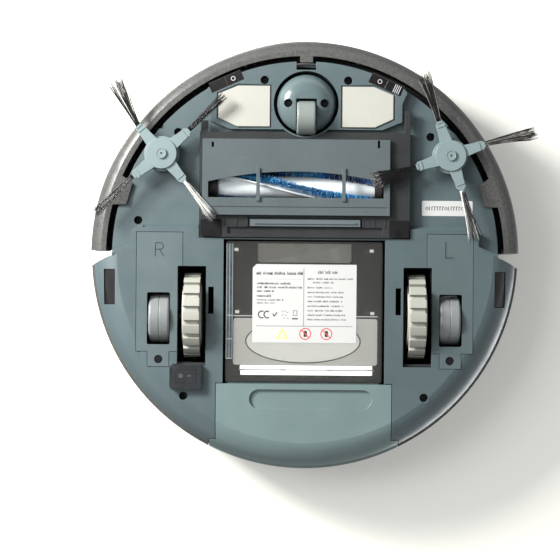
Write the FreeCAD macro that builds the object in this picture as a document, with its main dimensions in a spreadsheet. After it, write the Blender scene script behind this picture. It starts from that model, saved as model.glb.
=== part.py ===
import FreeCAD, Part
import math
import os

# Round robot vacuum cleaner, about 340 mm across and 88 mm high.
# Frame: +Z up, floor at Z = 0 under the wheels, body centre at X = Y = 0.
# The bumper is at the front (-Y) and the dust bin slides out at the rear (+Y).

V = FreeCAD.Vector
doc = FreeCAD.newDocument("robot_vacuum")

# ---------------------------------------------------------------- driving sizes
SIZES = [
    ("body_rad", 170.0), ("total_tall", 88.0), ("wall", 2.5), ("plate", 3.0),
    ("base_z", 14.0), ("front_z", 20.0), ("seam_z", 36.0), ("ring_z", 80.0),
    ("front_rad", 152.2), ("disc_rad", 158.0), ("rim_rad", 156.8),
    ("bumper_low_z", 17.5), ("bumper_top_z", 78.4), ("bumper_travel", 4.0),
    ("wheel_rad", 33.5), ("wheel_wide", 13.0), ("wheel_y", 48.2), ("wheel_x", 88.6),
    ("arm_y", -4.0), ("arm_z", 38.0), ("axle_rad", 3.0), ("fit_gap", 0.06),
    ("roller_rad", 19.5), ("roller_wide", 16.6), ("roller_x", 114.5),
    ("roller_y", 50.8), ("roller_z", 29.5), ("pin_rad", 2.5),
    ("caster_y", -119.0), ("caster_rad", 13.3), ("caster_wide", 14.8),
    ("caster_trail", 11.2), ("dome_rad", 22.9), ("well_rad", 25.6),
    ("hub_x", 113.3), ("hub_y", -78.6), ("hub_rad", 13.8), ("disc_r_hub", 12.0),
    ("arm_reach", 27.5), ("tuft_reach", 70.0),
    ("brush_y", -53.7), ("brush_z", 25.8), ("brush_rad", 16.0), ("core_rad", 8.5),
    ("guard_z", 8.6), ("guard_thick", 2.6), ("surround_z", 12.4),
    ("bin_left", -62.0), ("bin_right", 61.0), ("bin_front", -10.5), ("bin_back", 100.5),
    ("bin_low_z", 15.0), ("bin_top_z", 60.0), ("bin_wall", 1.5),
    ("switch_x", -92.5), ("switch_y", 96.0), ("rocker_long", 16.0), ("rocker_wide", 10.4),
    ("start_rad", 11.0), ("dock_rad", 6.0), ("screw_rad", 3.1), ("screw_hole", 3.3),
    ("fan_rad", 23.0), ("jack_rad", 2.75),
]
sheet = doc.addObject("Spreadsheet::Sheet", "dims")
for i, (word, number) in enumerate(SIZES):
    sheet.set("A%d" % (i + 1), word)
    sheet.set("B%d" % (i + 1), str(number))
    sheet.setAlias("B%d" % (i + 1), word)
doc.recompute()


class Q:
    """A size: its number and the spreadsheet expression that gives it."""

    def __init__(self, v, t):
        self.v = float(v)
        self.t = t

    def __add__(self, o):
        o = q(o)
        return Q(self.v + o.v, "(%s + %s)" % (self.t, o.t))

    def __sub__(self, o):
        o = q(o)
        return Q(self.v - o.v, "(%s - %s)" % (self.t, o.t))

    def __mul__(self, o):
        o = q(o)
        return Q(self.v * o.v, "(%s * %s)" % (self.t, o.t))

    def __truediv__(self, o):
        o = q(o)
        return Q(self.v / o.v, "(%s / %s)" % (self.t, o.t))

    def __radd__(self, o):
        return q(o) + self

    def __rsub__(self, o):
        return q(o) - self

    def __rmul__(self, o):
        return q(o) * self

    def __neg__(self):
        return Q(-self.v, "(0 - %s)" % self.t)

    def __float__(self):
        return self.v


def q(x):
    if isinstance(x, Q):
        return x
    return Q(x, "(%r)" % float(x) if x < 0 else "%r" % float(x))


def f(x):
    return float(x)


D = {}
for word, number in SIZES:
    D[word] = Q(sheet.get(word), "dims." + word)


def bind(obj, prop, size):
    if isinstance(size, Q) and "dims." in size.t:
        obj.setExpression(prop, size.t)


parts = []


# ---------------------------------------------------------------- model helpers
def new_body(label):
    b = doc.addObject("PartDesign::Body", label)
    b.Label = label
    if hasattr(b, "AllowCompound"):
        b.AllowCompound = True
    parts.append(b)
    return b


def origin_plane(b, role):
    for o in b.Origin.OriginFeatures:
        if o.Role == role:
            return o
    raise RuntimeError("no plane " + role)


def loop_edges(loop):
    """Edges of one closed loop, as sketch geometry."""
    kind = loop[0]
    if kind == "circ":
        return [Part.Circle(V(f(loop[1]), f(loop[2]), 0), V(0, 0, 1), f(loop[3]))]
    if kind == "rect":
        x0, y0, x1, y1 = [f(a) for a in loop[1:5]]
        loop = ("poly", [(x0, y0), (x1, y0), (x1, y1), (x0, y1)])
        kind = "poly"
    if kind == "rrect":
        x0, y0, x1, y1, r = [f(a) for a in loop[1:6]]
        k = r * (1 - math.sqrt(0.5))
        loop = ("path", [
            ("m", x0 + r, y0), ("l", x1 - r, y0), ("a", x1 - k, y0 + k, x1, y0 + r),
            ("l", x1, y1 - r), ("a", x1 - k, y1 - k, x1 - r, y1),
            ("l", x0 + r, y1), ("a", x0 + k, y1 - k, x0, y1 - r),
            ("l", x0, y0 + r), ("a", x0 + k, y0 + k, x0 + r, y0)])
        kind = "path"
    if kind == "poly":
        pts = [(f(a), f(b)) for a, b in loop[1]]
        loop = ("path", [("m",) + pts[0]] + [("l",) + p for p in pts[1:]])
    out = []
    seg = loop[1]
    start = cur = V(f(seg[0][1]), f(seg[0][2]), 0)
    for s in seg[1:]:
        if s[0] == "l":
            nxt = V(f(s[1]), f(s[2]), 0)
            if (nxt - cur).Length > 1e-6:
                out.append(Part.LineSegment(cur, nxt))
        else:
            nxt = V(f(s[3]), f(s[4]), 0)
            out.append(Part.Arc(cur, V(f(s[1]), f(s[2]), 0), nxt))
        cur = nxt
    if (cur - start).Length > 1e-6:
        out.append(Part.LineSegment(cur, start))
    return out


def sketch(b, loops, role="XY_Plane", lift=0.0, turn=None):
    """Sketch on one of the body's own planes, lifted along its normal."""
    s = b.newObject("Sketcher::SketchObject", b.Label + "_sketch")
    s.AttachmentSupport = [(origin_plane(b, role), "")]
    s.MapMode = "FlatFace"
    rot = FreeCAD.Rotation()
    if turn is not None:
        rot = FreeCAD.Rotation(V(0, 1, 0), turn)
    s.AttachmentOffset = FreeCAD.Placement(V(0, 0, f(lift)), rot)
    bind(s, ".AttachmentOffset.Base.z", lift)
    for loop in loops:
        for g in loop_edges(loop):
            n = s.addGeometry(g, False)
            if loop[0] == "circ" and isinstance(loop[3], Q):
                import_sketcher_radius(s, n, loop[3])
    return s


def import_sketcher_radius(s, n, size):
    import Sketcher
    c = s.addConstraint(Sketcher.Constraint("Radius", n, f(size)))
    if "dims." in size.t:
        s.setExpression("Constraints[%d]" % c, size.t)


def pad(b, z0, z1, loops, role="XY_Plane"):
    z0, z1 = q(z0), q(z1)
    s = sketch(b, loops, role, z0)
    p = b.newObject("PartDesign::Pad", b.Label + "_pad")
    p.Profile = s
    p.Length = z1.v - z0.v
    bind(p, "Length", z1 - z0)
    return p


def pocket(b, z0, z1, loops, role="XY_Plane"):
    """Cuts everything inside the loops between z0 and z1."""
    z0, z1 = q(z0), q(z1)
    s = sketch(b, loops, role, z1)
    p = b.newObject("PartDesign::Pocket", b.Label + "_pocket")
    p.Profile = s
    p.Length = z1.v - z0.v
    bind(p, "Length", z1 - z0)
    return p


def turn_about_z(b, profile, start=0.0, sweep=360.0, cut=False):
    """Revolves an (r, z) profile about Z from angle start, counterclockwise."""
    s = sketch(b, [profile], "XZ_Plane", 0.0, turn=start)
    kind = "PartDesign::Groove" if cut else "PartDesign::Revolution"
    r = b.newObject(kind, b.Label + "_turn")
    r.Profile = s
    r.ReferenceAxis = (s, ["V_Axis"])
    r.Angle = sweep
    r.Reversed = False
    return r


def polar(b, feature, count):
    p = b.newObject("PartDesign::PolarPattern", b.Label + "_pattern")
    p.Originals = [feature]
    axis = None
    for o in b.Origin.OriginFeatures:
        if o.Role == "Z_Axis":
            axis = o
    p.Axis = (axis, [""])
    p.Angle = 360
    p.Occurrences = count
    b.Tip = p
    return p


def place(obj, x, y, z, axis=None, angle=0.0):
    rot = FreeCAD.Rotation() if axis is None else FreeCAD.Rotation(V(*axis), angle)
    obj.Placement = FreeCAD.Placement(V(f(x), f(y), f(z)), rot)
    for n, c in (("x", x), ("y", y), ("z", z)):
        bind(obj, ".Placement.Base." + n, c)
    return obj


def cyl(name, r, h, x, y, z, axis=None, angle=0.0):
    c = doc.addObject("Part::Cylinder", name)
    c.Radius = f(r)
    c.Height = f(h)
    bind(c, "Radius", r)
    bind(c, "Height", h)
    return place(c, x, y, z, axis, angle)


def cyl_x(name, r, x0, x1, y, z):
    x0, x1 = q(x0), q(x1)
    return cyl(name, r, x1 - x0, x0, y, z, (0, 1, 0), 90)


def cyl_y(name, r, y0, y1, x, z):
    y0, y1 = q(y0), q(y1)
    return cyl(name, r, y1 - y0, x, y0, z, (1, 0, 0), -90)


def block(name, x0, x1, y0, y1, z0, z1):
    x0, x1, y0, y1, z0, z1 = [q(a) for a in (x0, x1, y0, y1, z0, z1)]
    c = doc.addObject("Part::Box", name)
    for prop, a, b in (("Length", x0, x1), ("Width", y0, y1), ("Height", z0, z1)):
        setattr(c, prop, b.v - a.v)
        bind(c, prop, b - a)
    return place(c, x0, y0, z0)


def fuse(label, shapes):
    c = doc.addObject("Part::MultiFuse", label)
    c.Shapes = shapes
    c.Label = label
    return c


def cut(label, base, tool):
    c = doc.addObject("Part::Cut", label)
    c.Base = base
    c.Tool = tool
    c.Label = label
    return c


def group(label, shapes):
    c = doc.addObject("Part::Compound", label)
    c.Links = shapes
    c.Label = label
    return c


def keep(obj):
    parts.append(obj)
    return obj


def arc_pt(r, deg):
    a = math.radians(deg)
    return (r * math.cos(a), r * math.sin(a))


def ring_sector(r0, r1, a0, a1):
    """Closed loop of a ring sector from angle a0 to a1 (degrees)."""
    am = (a0 + a1) / 2.0
    return ("path", [("m",) + arc_pt(r1, a0), ("a",) + arc_pt(r1, am) + arc_pt(r1, a1),
                     ("l",) + arc_pt(r0, a1), ("a",) + arc_pt(r0, am) + arc_pt(r0, a0)])


def rot_rect(cx, cy, w, d, deg):
    c, s = math.cos(math.radians(deg)), math.sin(math.radians(deg))
    return ("poly", [(cx + u * c - v * s, cy + u * s + v * c)
                     for u, v in ((-w / 2, -d / 2), (w / 2, -d / 2), (w / 2, d / 2), (-w / 2, d / 2))])


def mirror_pts(pts):
    return [(-x, y) for x, y in pts][::-1]


# shared outlines -------------------------------------------------------------
R = D["body_rad"]
BZ, FZ, PL, WL = D["base_z"], D["front_z"], D["plate"], D["wall"]
SZ = D["seam_z"]

# Line where the high rear plate meets the recessed front zones.
STEP_L = [(-157.5, 3.3), (-134, -6), (-134, -18), (-128, -21)]
STEP_R = mirror_pts(STEP_L)
FRONT_CUT = [(-200, 22.0), (-167.2, 8.0)] + STEP_L + STEP_R + [(167.2, 8.0), (200, 22.0), (200, -200), (-200, -200)]

FLARE_OUT = [("m", 0.0, 14.0), ("l", 148.0, 14.0), ("a", 160.8, 20.6, 168.0, 36.0)]
FLARE_SHELL = ("path", FLARE_OUT + [("l", 165.0, 36.0), ("a", 158.4, 22.7, 147.0, 17.0), ("l", 0.0, 17.0)])
FLARE_SOLID = ("path", [("m", 140.0, 14.0), ("l", 148.0, 14.0), ("a", 160.8, 20.6, 168.0, 36.0), ("l", 140.0, 36.0)])

PAD_L = [(-28.6, -132.7), (-53.5, -132.7), (-69, -126.3), (-69, -107.5), (-54.5, -100.8), (-28.6, -100.8)]
PAD_R = [(28.5, -132.5), (53.0, -132.5), (68.4, -126.1), (68.4, -107.3), (54.2, -100.7), (28.5, -100.7)]


def grow(pts, d):
    cx = sum(p[0] for p in pts) / len(pts)
    cy = sum(p[1] for p in pts) / len(pts)
    out = []
    for x, y in pts:
        l = math.hypot(x - cx, y - cy)
        out.append((cx + (x - cx) * (l + d) / l, cy + (y - cy) * (l + d) / l))
    return out


ISLAND = [(-77, -131.2), (-79.5, -128), (-75.5, -119), (-75.5, -105), (-60, -98.6), (60, -98.6),
          (75.5, -105), (75.5, -119), (79.5, -128), (77, -131.2)]
ISLAND_PATH = ("path", [("m",) + ISLAND[0]] + [("l",) + p for p in ISLAND[1:]] +
               [("a", 0.0, -152.2, -77.0, -131.2)])

COVER_L = [(-132.3, -17), (-96.2, -17), (-96.2, 76.5), (-106.4, 76.5), (-106.4, 88.5),
           (-123.2, 88.5), (-123.2, 76.5), (-132.3, 76.5)]
COVER_R = mirror_pts(COVER_L)
COVER_L_OUT = [(-132.7, -17.4), (-95.8, -17.4), (-95.8, 76.9), (-106.0, 76.9), (-106.0, 88.9),
               (-123.6, 88.9), (-123.6, 76.9), (-132.7, 76.9)]
COVER_R_OUT = mirror_pts(COVER_L_OUT)
COVER_L_IN = ("rect", -130.0, -14.6, -98.0, 74.0)
COVER_R_IN = ("rect", 98.0, -14.6, 130.0, 74.0)
BIN_COVER = [(-69.2, 101.5), (68.8, 101.5), (68.8, 146.0), (75.0, 146.0), (75.0, 185.0),
             (-75.0, 185.0), (-75.0, 146.0), (-69.2, 146.0)]
BIN_COVER_OUT = [(-69.7, 100.9), (69.3, 100.9), (69.3, 145.5), (75.6, 145.5), (75.6, 190.0),
                 (-75.6, 190.0), (-75.6, 145.5), (-69.7, 145.5)]
HOLES = [(-32.8, -137.3), (32.8, -137.3), (98.4, -94.0), (-100.8, -96.2), (-131.8, -26.5), (131.8, -26.5),
         (-94.8, 111.5), (94.2, 111.5)]
COVER_SCREWS = [(-114.6, 82.8), (114.4, 82.4)]
FRONT_WINDOWS = [(-63.0, -136.0, -24.0), (63.0, -134.5, 24.0)]

# ---------------------------------------------------------------- 1 chassis
b = new_body("chassis")
turn_about_z(b, FLARE_SHELL)
for a0 in (-3.0, 176.0):
    turn_about_z(b, FLARE_SOLID, a0, 7.0)
pocket(b, 10, 40, [("poly", FRONT_CUT)])
# recessed front zones, with their bounding wall behind the bumper
zone = [("m", -151.9, 1.1), ("a", 0.0, -152.2, 151.9, 1.1), ("l", 134.0, -6.0), ("l", 134.0, -18.0),
        ("l", 128.0, -21.0), ("l", -128.0, -21.0), ("l", -134.0, -18.0), ("l", -134.0, -6.0)]
pad(b, FZ, FZ + PL, [("path", zone)])
side = [(134.0, -6.0), (151.9, 1.08), (152.0, -1.5), (136.4, -7.6), (136.4, -18.8), (129.2, -22.4), (127.6, -22.4), (127.6, -21.0)]
strip = [(-134.0, -17.6), (134.0, -17.6)] + side + mirror_pts(side)
pad(b, BZ, FZ + PL, [("poly", strip)])
pad(b, FZ, 76.0, [ring_sector(149.2, D["front_rad"].v, 180.4, 359.6)])
# raised island round the caster and the charging contacts
pad(b, BZ, FZ + PL, [ISLAND_PATH])
pocket(b, BZ + PL, FZ + PL + 1, [("poly", [(-74, -129), (-73, -119), (-72.5, -106.5), (-59, -101.5), (59, -101.5),
                                          (72.5, -106.5), (73, -119), (74, -129), (40, -143), (-40, -143)])])
# screw bosses, on the recessed plate and on the base plate
FZ_HOLES = [h for h in HOLES if abs(h[0]) > 95 and h[1] < -20]
BZ_HOLES = [h for h in HOLES if h not in FZ_HOLES]
for low, places in ((FZ, FZ_HOLES), (BZ, BZ_HOLES)):
    pad(b, low + 0.4, 34.0, [("circ", x, y, 5.0) for x, y in places])
    pocket(b, 10.0, low + 10.0, [("circ", x, y, D["screw_hole"]) for x, y in places])
    pocket(b, 22.0, 36.0, [("circ", x, y, 1.5) for x, y in places])
# sloped wall between the plate levels, on both sides of the brush frame
for x0, x1 in ((-128.0, -84.0), (84.0, 128.0)):
    s = sketch(b, [("poly", [(-23.8, 20.2), (-20.5, 14.0), (-20.0, 14.0), (-20.0, 20.2)])], "YZ_Plane", x0)
    p = b.newObject("PartDesign::Pad", "chassis_slope")
    p.Profile = s
    p.Length = x1 - x0
# seats of the charging contacts
pocket(b, BZ, BZ + 1.4, [("poly", grow(PAD_L, 1.5)), ("poly", grow(PAD_R, 1.5))])
# opening of the brush frame and small openings beside the side brushes
pocket(b, 10.0, 24.0, [("rect", -83.6, -97.0, 82.6, -13.0)])
# caster well with a roof that carries the swivel
pad(b, BZ, 43.0, [("circ", 0.0, D["caster_y"], D["well_rad"] + 1.4)])
pocket(b, 10.0, 40.0, [("circ", 0.0, D["caster_y"], D["well_rad"])])
pocket(b, 39.0, 44.0, [("circ", 0.0, D["caster_y"], 5.06)])
pocket(b, 10.0, 24.0, [("circ", -D["hub_x"], D["hub_y"], 4.6), ("circ", D["hub_x"], D["hub_y"], 4.6)])
pocket(b, 10.0, 24.0, [("rect", -121.0, -111.0, -112.5, -99.0),
                       ("poly", [(111.0, -101.5), (112.5, -104.0), (121.6, -98.0), (120.0, -95.0)]),
                       rot_rect(137.8, -71.3, 5.0, 22.0, -32.0)])
# notches for the bumper tabs
pocket(b, 12.0, 30.0, [("rect", -8.0, -160.0, 7.7, -145.6)])
# wheel, roller and spring openings
for sgn in (-1.0, 1.0):
    x = sorted([sgn * 100.0, sgn * 77.6])
    pocket(b, 10.0, 24.0, [("rect", x[0], 9.4, x[1], 87.5)])
    x = sorted([sgn * 75.8, sgn * 71.5])
    pocket(b, 10.0, 24.0, [("rect", x[0], 25.6, x[1], 46.7)])
pocket(b, 10.0, BZ + 2.0, [("poly", COVER_L_OUT), ("poly", COVER_R_OUT)])
pocket(b, 10.0, 24.0, [COVER_L_IN, COVER_R_IN])
# bay of the dust bin, open at the rear
pocket(b, 10.0, 40.0, [("rect", -64.0, -12.0, 63.0, 102.0)])
pocket(b, 10.0, 40.0, [("poly", BIN_COVER_OUT)])
# power switch seat
pocket(b, 10.0, 24.0, [("rect", -104.2, 87.3, -81.3, 105.1)])
# floor-sensor windows
pocket(b, 10.0, 24.0, [rot_rect(cx, cy, 27.6, 8.4, a) for cx, cy, a in FRONT_WINDOWS])
pocket(b, 10.0, 38.0, [("rect", -158.4, 12.2, -149.4, 40.2), ("rect", 149.4, 12.2, 158.4, 40.2)])

# ---------------------------------------------------------------- 2 top cover
b = new_body("top_cover")
TZ = D["total_tall"]
turn_about_z(b, ("path", [("m", 0, 88.0), ("l", 147.0, 88.0), ("a", 154.6, 86.0, 158.0, 80.4), ("l", 158.0, 79.3),
                          ("l", 155.2, 79.3), ("l", 155.2, 80.2), ("a", 152.8, 84.0, 147.0, 85.4), ("l", 0, 85.4)]))
RING = ("path", [("m", 156.5, 77.2), ("l", 165.4, 77.2), ("a", 166.9, 76.6, 167.5, 75.1), ("l", 167.5, 36.8),
                 ("l", 170.0, 36.8), ("l", 170.0, 75.0), ("a", 168.5, 78.6, 165.0, 80.1), ("l", 156.5, 80.1)])
turn_about_z(b, RING, 0.4, 179.2)
for a0 in (0.4, 174.6):
    turn_about_z(b, ("path", [("m", 157.6, 36.8), ("l", 169.9, 36.8), ("l", 169.9, 75.0), ("a", 168.4, 78.5, 165.0, 80.0),
                              ("l", 157.6, 80.0)]), a0, 5.0)
pocket(b, 30.0, 81.5, [("poly", [(-200, 22.0), (-167.2, 8.0), (-156.9, 3.2), (-156.9, -30), (-200, -30)]),
                       ("poly", [(200, 22.0), (200, -30), (156.9, -30), (156.9, 3.2), (167.2, 8.0)])])
pocket(b, 30.0, 63.4, [("rect", -75.8, 140.0, 75.8, 190.0)])
pocket(b, TZ - 1.8, TZ + 1, [("rrect", -46.3, -118.3, 46.3, -68.7, 24.0)])
pocket(b, 80.0, TZ + 1, [("circ", -12.0, -93.5, D["start_rad"] + 0.4), ("circ", 22.0, -93.5, D["dock_rad"] + 0.4)])
s = sketch(b, [("circ", 30.0, 52.0, 6.6)], "YZ_Plane", -150.0)
p = b.newObject("PartDesign::Pocket", "top_cover_jack_hole")
p.Profile = s
p.Length = 30.0
p.Reversed = False
for a in range(5):
    pocket(b, 84.0, TZ + 1, [ring_sector(118.0, 121.0, 62.0 + 11.5 * a, 71.0 + 11.5 * a)])

# ---------------------------------------------------------------- 3 bumper
b = new_body("bumper_shell")
BL, BT = D["bumper_low_z"], D["bumper_top_z"]
turn_about_z(b, ("path", [("m", D["rim_rad"].v, 17.5), ("l", 160.9, 17.5), ("a", 166.8, 22.4, 170.0, 31.0), ("l", 170.0, 74.2),
                          ("a", 168.9, 77.2, 166.0, 78.4), ("l", 160.5, 78.4), ("l", 160.5, 76.0), ("l", 165.6, 76.0),
                          ("a", 166.9, 75.4, 167.5, 74.0), ("l", 167.5, 31.6), ("a", 164.8, 24.4, 160.0, 20.0),
                          ("l", D["rim_rad"].v, 20.0)]), 180.9, 178.2)
for a0 in (180.9, 357.9):
    turn_about_z(b, ("path", [("m", 157.0, 17.6), ("l", 160.8, 17.6), ("a", 166.7, 22.5, 169.9, 31.0), ("l", 169.9, 74.2),
                              ("a", 168.8, 77.1, 166.0, 78.3), ("l", 160.5, 78.3), ("l", 160.5, 60.0), ("l", 157.0, 60.0)]), a0, 1.2)
# guide tabs that run under the chassis edge
pad(b, BL, BL + 2.0, [("rect", -5.0, -158.6, 5.0, -151.8)])
for sgn in (-1.0, 1.0):
    t = [(-147.0, -63.4), (-136.5, -55.5), (-141.0, -39.0), (-154.6, -38.6)]
    if sgn > 0:
        t = mirror_pts(t)
    pad(b, BL, BL + 2.0, [("poly", t)])
# recess of the front sensor window
turn_about_z(b, ("poly", [(168.6, 46.0), (172.0, 46.0), (172.0, 66.0), (168.6, 66.0)]), 222.0, 96.0, cut=True)

b = new_body("bumper_window")
turn_about_z(b, ("poly", [(168.7, 46.3), (170.0, 46.3), (170.0, 65.7), (168.7, 65.7)]), 222.4, 95.2)

# ---------------------------------------------------------------- 4 controls
b = new_body("control_panel")
pad(b, TZ - 1.8, TZ + 0.2, [("rrect", -46.0, -118.0, 46.0, -69.0, 23.7),
                            ("circ", -12.0, -93.5, D["start_rad"] + 0.4), ("circ", 22.0, -93.5, D["dock_rad"] + 0.4)])
for label, x, rad in (("start_button", -12.0, D["start_rad"]), ("dock_button", 22.0, D["dock_rad"])):
    b = new_body(label)
    pad(b, 82.2, TZ + 2.2, [("circ", x, -93.5, rad)])
    pad(b, 82.2, 84.0, [("circ", x, -93.5, rad + 1.6)])
    b.recompute(True)
    solid = b.Tip
    edges = []
    for i, e in enumerate(solid.Shape.Edges):
        if abs(e.BoundBox.ZMin - f(TZ + 2.2)) < 1e-4 and abs(e.BoundBox.ZMax - f(TZ + 2.2)) < 1e-4:
            edges.append("Edge%d" % (i + 1))
    c = b.newObject("PartDesign::Chamfer", label + "_edge")
    c.Base = (solid, edges)
    c.Size = 0.5
    b.Tip = c

# ---------------------------------------------------------------- 5 inner pieces
b = new_body("main_board")
pad(b, 75.6, 77.2, [("rrect", -60.0, -128.0, 62.0, -22.0, 3.0)])
pad(b, 77.2, 79.2, [("rect", -50.0, -60.0, -36.0, -46.0), ("rect", -10.0, -55.0, 6.0, -39.0),
                    ("rect", 30.0, -60.0, 52.0, -50.0), ("rect", -50.0, -100.0, -40.0, -80.0)])
pad(b, 72.6, 75.6, [("rect", 40.0, -118.0, 56.0, -106.0), ("rect", -56.0, -40.0, -40.0, -28.0)])

b = new_body("battery_pack")
pad(b, 45.0, 66.0, [("rrect", -58.0, -133.0, 58.0, -96.0, 6.0)])
pad(b, 50.0, 58.0, [("rect", 57.0, -124.0, 63.0, -110.0)])

b = new_body("fan_housing")
pad(b, 49.4, 72.0, [("circ", 26.0, -62.0, 29.0), ("circ", 26.0, -62.0, 27.0)])
pad(b, 49.4, 51.0, [("circ", 26.0, -62.0, 28.0), ("circ", 26.0, -62.0, 11.0)])
pad(b, 70.4, 72.0, [("circ", 26.0, -62.0, 28.0), ("circ", 26.0, -62.0, 13.4)])
pocket(b, 54.0, 66.0, [("rect", 45.0, -70.0, 60.0, -54.0)])

fan_m = fuse("fan_motor_blank", [cyl("fan_motor_can", 13.0, 12.0, 26.0, -62.0, 62.5), cyl("fan_motor_neck", 4.0, 2.0, 26.0, -62.0, 60.6)])
keep(cut("fan_motor", fan_m, cyl("fan_motor_bore", 1.56, 8.0, 26.0, -62.0, 60.0)))

b = new_body("fan_impeller")
pad(b, 0.0, 1.4, [("circ", 0.0, 0.0, D["fan_rad"])])
pad(b, 0.0, 7.4, [("circ", 0.0, 0.0, 5.0)])
pad(b, 0.0, 14.0, [("circ", 0.0, 0.0, 1.5)])
blade = pad(b, 1.0, 6.6, [("poly", [(4.4, -0.6), (14.0, 2.6), (22.4, 8.6), (21.6, 9.4), (13.4, 3.8), (4.4, 0.6)])])
polar(b, blade, 11)
place(b, 26.0, -62.0, 52.4)

motor = fuse("brush_motor_blank", [block("brush_gearbox", 67.6, 80.2, -86.0, -38.0, 24.0, 46.0),
                                   block("brush_gearbox_low", 67.6, 80.2, -64.0, -43.5, 15.3, 26.0),
                                   cyl_x("brush_motor_can", 11.5, 80.0, 118.0, -48.0, 36.5)])
keep(cut("brush_motor", motor, cyl_x("brush_motor_bore", D["axle_rad"] + 0.5 + D["fit_gap"], 60.0, 76.0, D["brush_y"], D["brush_z"])))

sbm = []
for n, sgn in (("a", -1.0), ("b", 1.0)):
    x = D["hub_x"] * sgn
    fl = block("side_motor_flange_" + n, -17.0, 10.4, -13.0, 13.0, 0.0, 4.0)
    ang = math.degrees(math.atan2(D["hub_y"].v, x.v))
    fl.Placement = FreeCAD.Placement(V(x.v, D["hub_y"].v, 23.1), FreeCAD.Rotation(V(0, 0, 1), ang)) * \
        FreeCAD.Placement(V(-17.0, -13.0, 0), FreeCAD.Rotation())
    m = fuse("side_motor_" + n, [fl, cyl("side_motor_can_" + n, 10.6, 26.0, x, D["hub_y"], 26.5)])
    sbm.append(cut("side_motor_bored_" + n, m, cyl("side_motor_bore_" + n, D["axle_rad"] + D["fit_gap"], 19.0, x, D["hub_y"], 22.0)))
keep(group("side_brush_motors", sbm))

# ---------------------------------------------------------------- 6 brush frame with chamber
SU = D["surround_z"]
b = new_body("brush_surround")
pad(b, SU, SU + 2.6, [("rect", -83.0, -96.4, 82.0, -13.6)])
pad(b, SU, SU + 2.6, [("rect", -82.5, -105.0, -76.9, -96.0), ("rect", 77.4, -113.6, 82.0, -96.0)])
pad(b, SU, 23.0, [("rect", -83.0, -96.4, 82.0, -13.6), ("rect", -81.4, -94.8, 80.4, -15.2)])
pad(b, SU, 48.0, [("rect", -80.6, -91.5, 67.2, -29.2), ("rect", -79.0, -90.0, 65.6, -30.8)])
pocket(b, 10.0, SU + 3.0, [("rect", -79.0, -90.0, 65.6, -30.8)])
pad(b, 46.4, 48.0, [("rect", -80.6, -91.5, 67.2, -29.2)])
# trench behind the guard and slot for its latch
pocket(b, SU - 1, SU + 1.7, [("rect", -61.0, -21.6, 60.5, -16.4)])
pocket(b, SU - 1, SU + 1.7, [("rect", -46.0, -29.3, 45.0, -21.8)])
pocket(b, SU - 1, SU + 2.0, [("rect", -83.0, -22.0, -70.5, -13.6), ("rect", 70.0, -22.0, 82.0, -13.6)])
pocket(b, 16.5, 24.0, [("rect", -47.6, -16.0, 42.6, -13.0)])
# room for the caster well
pocket(b, 10.0, 24.0, [("circ", 0.0, D["caster_y"], D["well_rad"] + 1.8)])
# suction slot towards the bin and shaft holes
s = sketch(b, [("rect", -44.0, 19.5, 39.0, 41.0)], "XZ_Plane", 20.0)
p = b.newObject("PartDesign::Pocket", "suction_slot")
p.Profile = s
p.Length = 20.0
p.Reversed = True
s = sketch(b, [("circ", D["brush_y"], D["brush_z"], D["axle_rad"] + 0.5 + D["fit_gap"])], "YZ_Plane", 60.0)
p = b.newObject("PartDesign::Pocket", "drive_hole")
p.Profile = s
p.Length = 10.0
p.Reversed = True
s = sketch(b, [("circ", D["brush_y"], D["brush_z"], D["axle_rad"] + D["fit_gap"])], "YZ_Plane", -82.0)
p = b.newObject("PartDesign::Pocket", "bush_hole")
p.Profile = s
p.Length = 5.0
p.Reversed = True

# ---------------------------------------------------------------- 7 brush guard and latch
GZ, GT = D["guard_z"], D["guard_thick"]
b = new_body("brush_guard")
pad(b, GZ, GZ + GT, [("rect", -81.0, -90.6, 66.0, -31.0)])
win = ("path", [("m", -76.4, -44.6), ("l", -76.4, -57.0), ("a", -10.0, -65.2, 50.0, -59.5), ("l", 61.2, -58.0), ("l", 61.2, -44.6)])
pocket(b, GZ - 1, GZ + GT + 1, [win])
pad(b, GZ - 1.4, GZ + 1.0, [("rect", -38.7, -68.0, -35.9, -42.0), ("rect", 28.5, -68.0, 31.3, -42.0)])
pocket(b, GZ - 2, GZ + 0.6, [("rect", -81.0, -90.6, 66.0, -76.0)])
pocket(b, GZ - 2, GZ + GT + 1, [("rect", -73.9, -88.0, -72.1, -84.0), ("rect", 56.3, -90.0, 58.1, -84.0)])
pocket(b, GZ - 2, GZ + 0.5, [("rect", -79.0, -37.6, 64.0, -32.6)])

b = new_body("guard_latch")
pad(b, SU - 1.2, SU + 1.4, [("rect", -43.5, -27.7, 43.0, -22.3)])
pad(b, SU - 2.0, SU - 1.0, [("rect", -40.0, -25.4, 40.0, -24.2)])

# ---------------------------------------------------------------- 8 main brush (own axis along Z, then laid along X)
BW = 54.5 + 69.0
b = new_body("brush_core")
pad(b, 0.0, BW, [("circ", 0.0, 0.0, D["core_rad"])])
pad(b, -0.4, BW + 0.4, [("circ", 0.0, 0.0, 3.4)])
place(b, -69.0, D["brush_y"], D["brush_z"], (0, 1, 0), 90)

b = new_body("brush_end_caps")
pad(b, -9.6, 0.0, [("circ", 0.0, 0.0, D["axle_rad"])])
pad(b, -7.0, 0.0, [("circ", 0.0, 0.0, 10.5)])
pad(b, BW, BW + 6.0, [("circ", 0.0, 0.0, 10.5)])
pad(b, BW, BW + 20.0, [("circ", 0.0, 0.0, D["axle_rad"] + 0.5)])
pocket(b, -0.4, 0.0, [("circ", 0.0, 0.0, 3.4)])
pocket(b, BW, BW + 0.4, [("circ", 0.0, 0.0, 3.4)])
place(b, -69.0, D["brush_y"], D["brush_z"], (0, 1, 0), 90)


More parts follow.
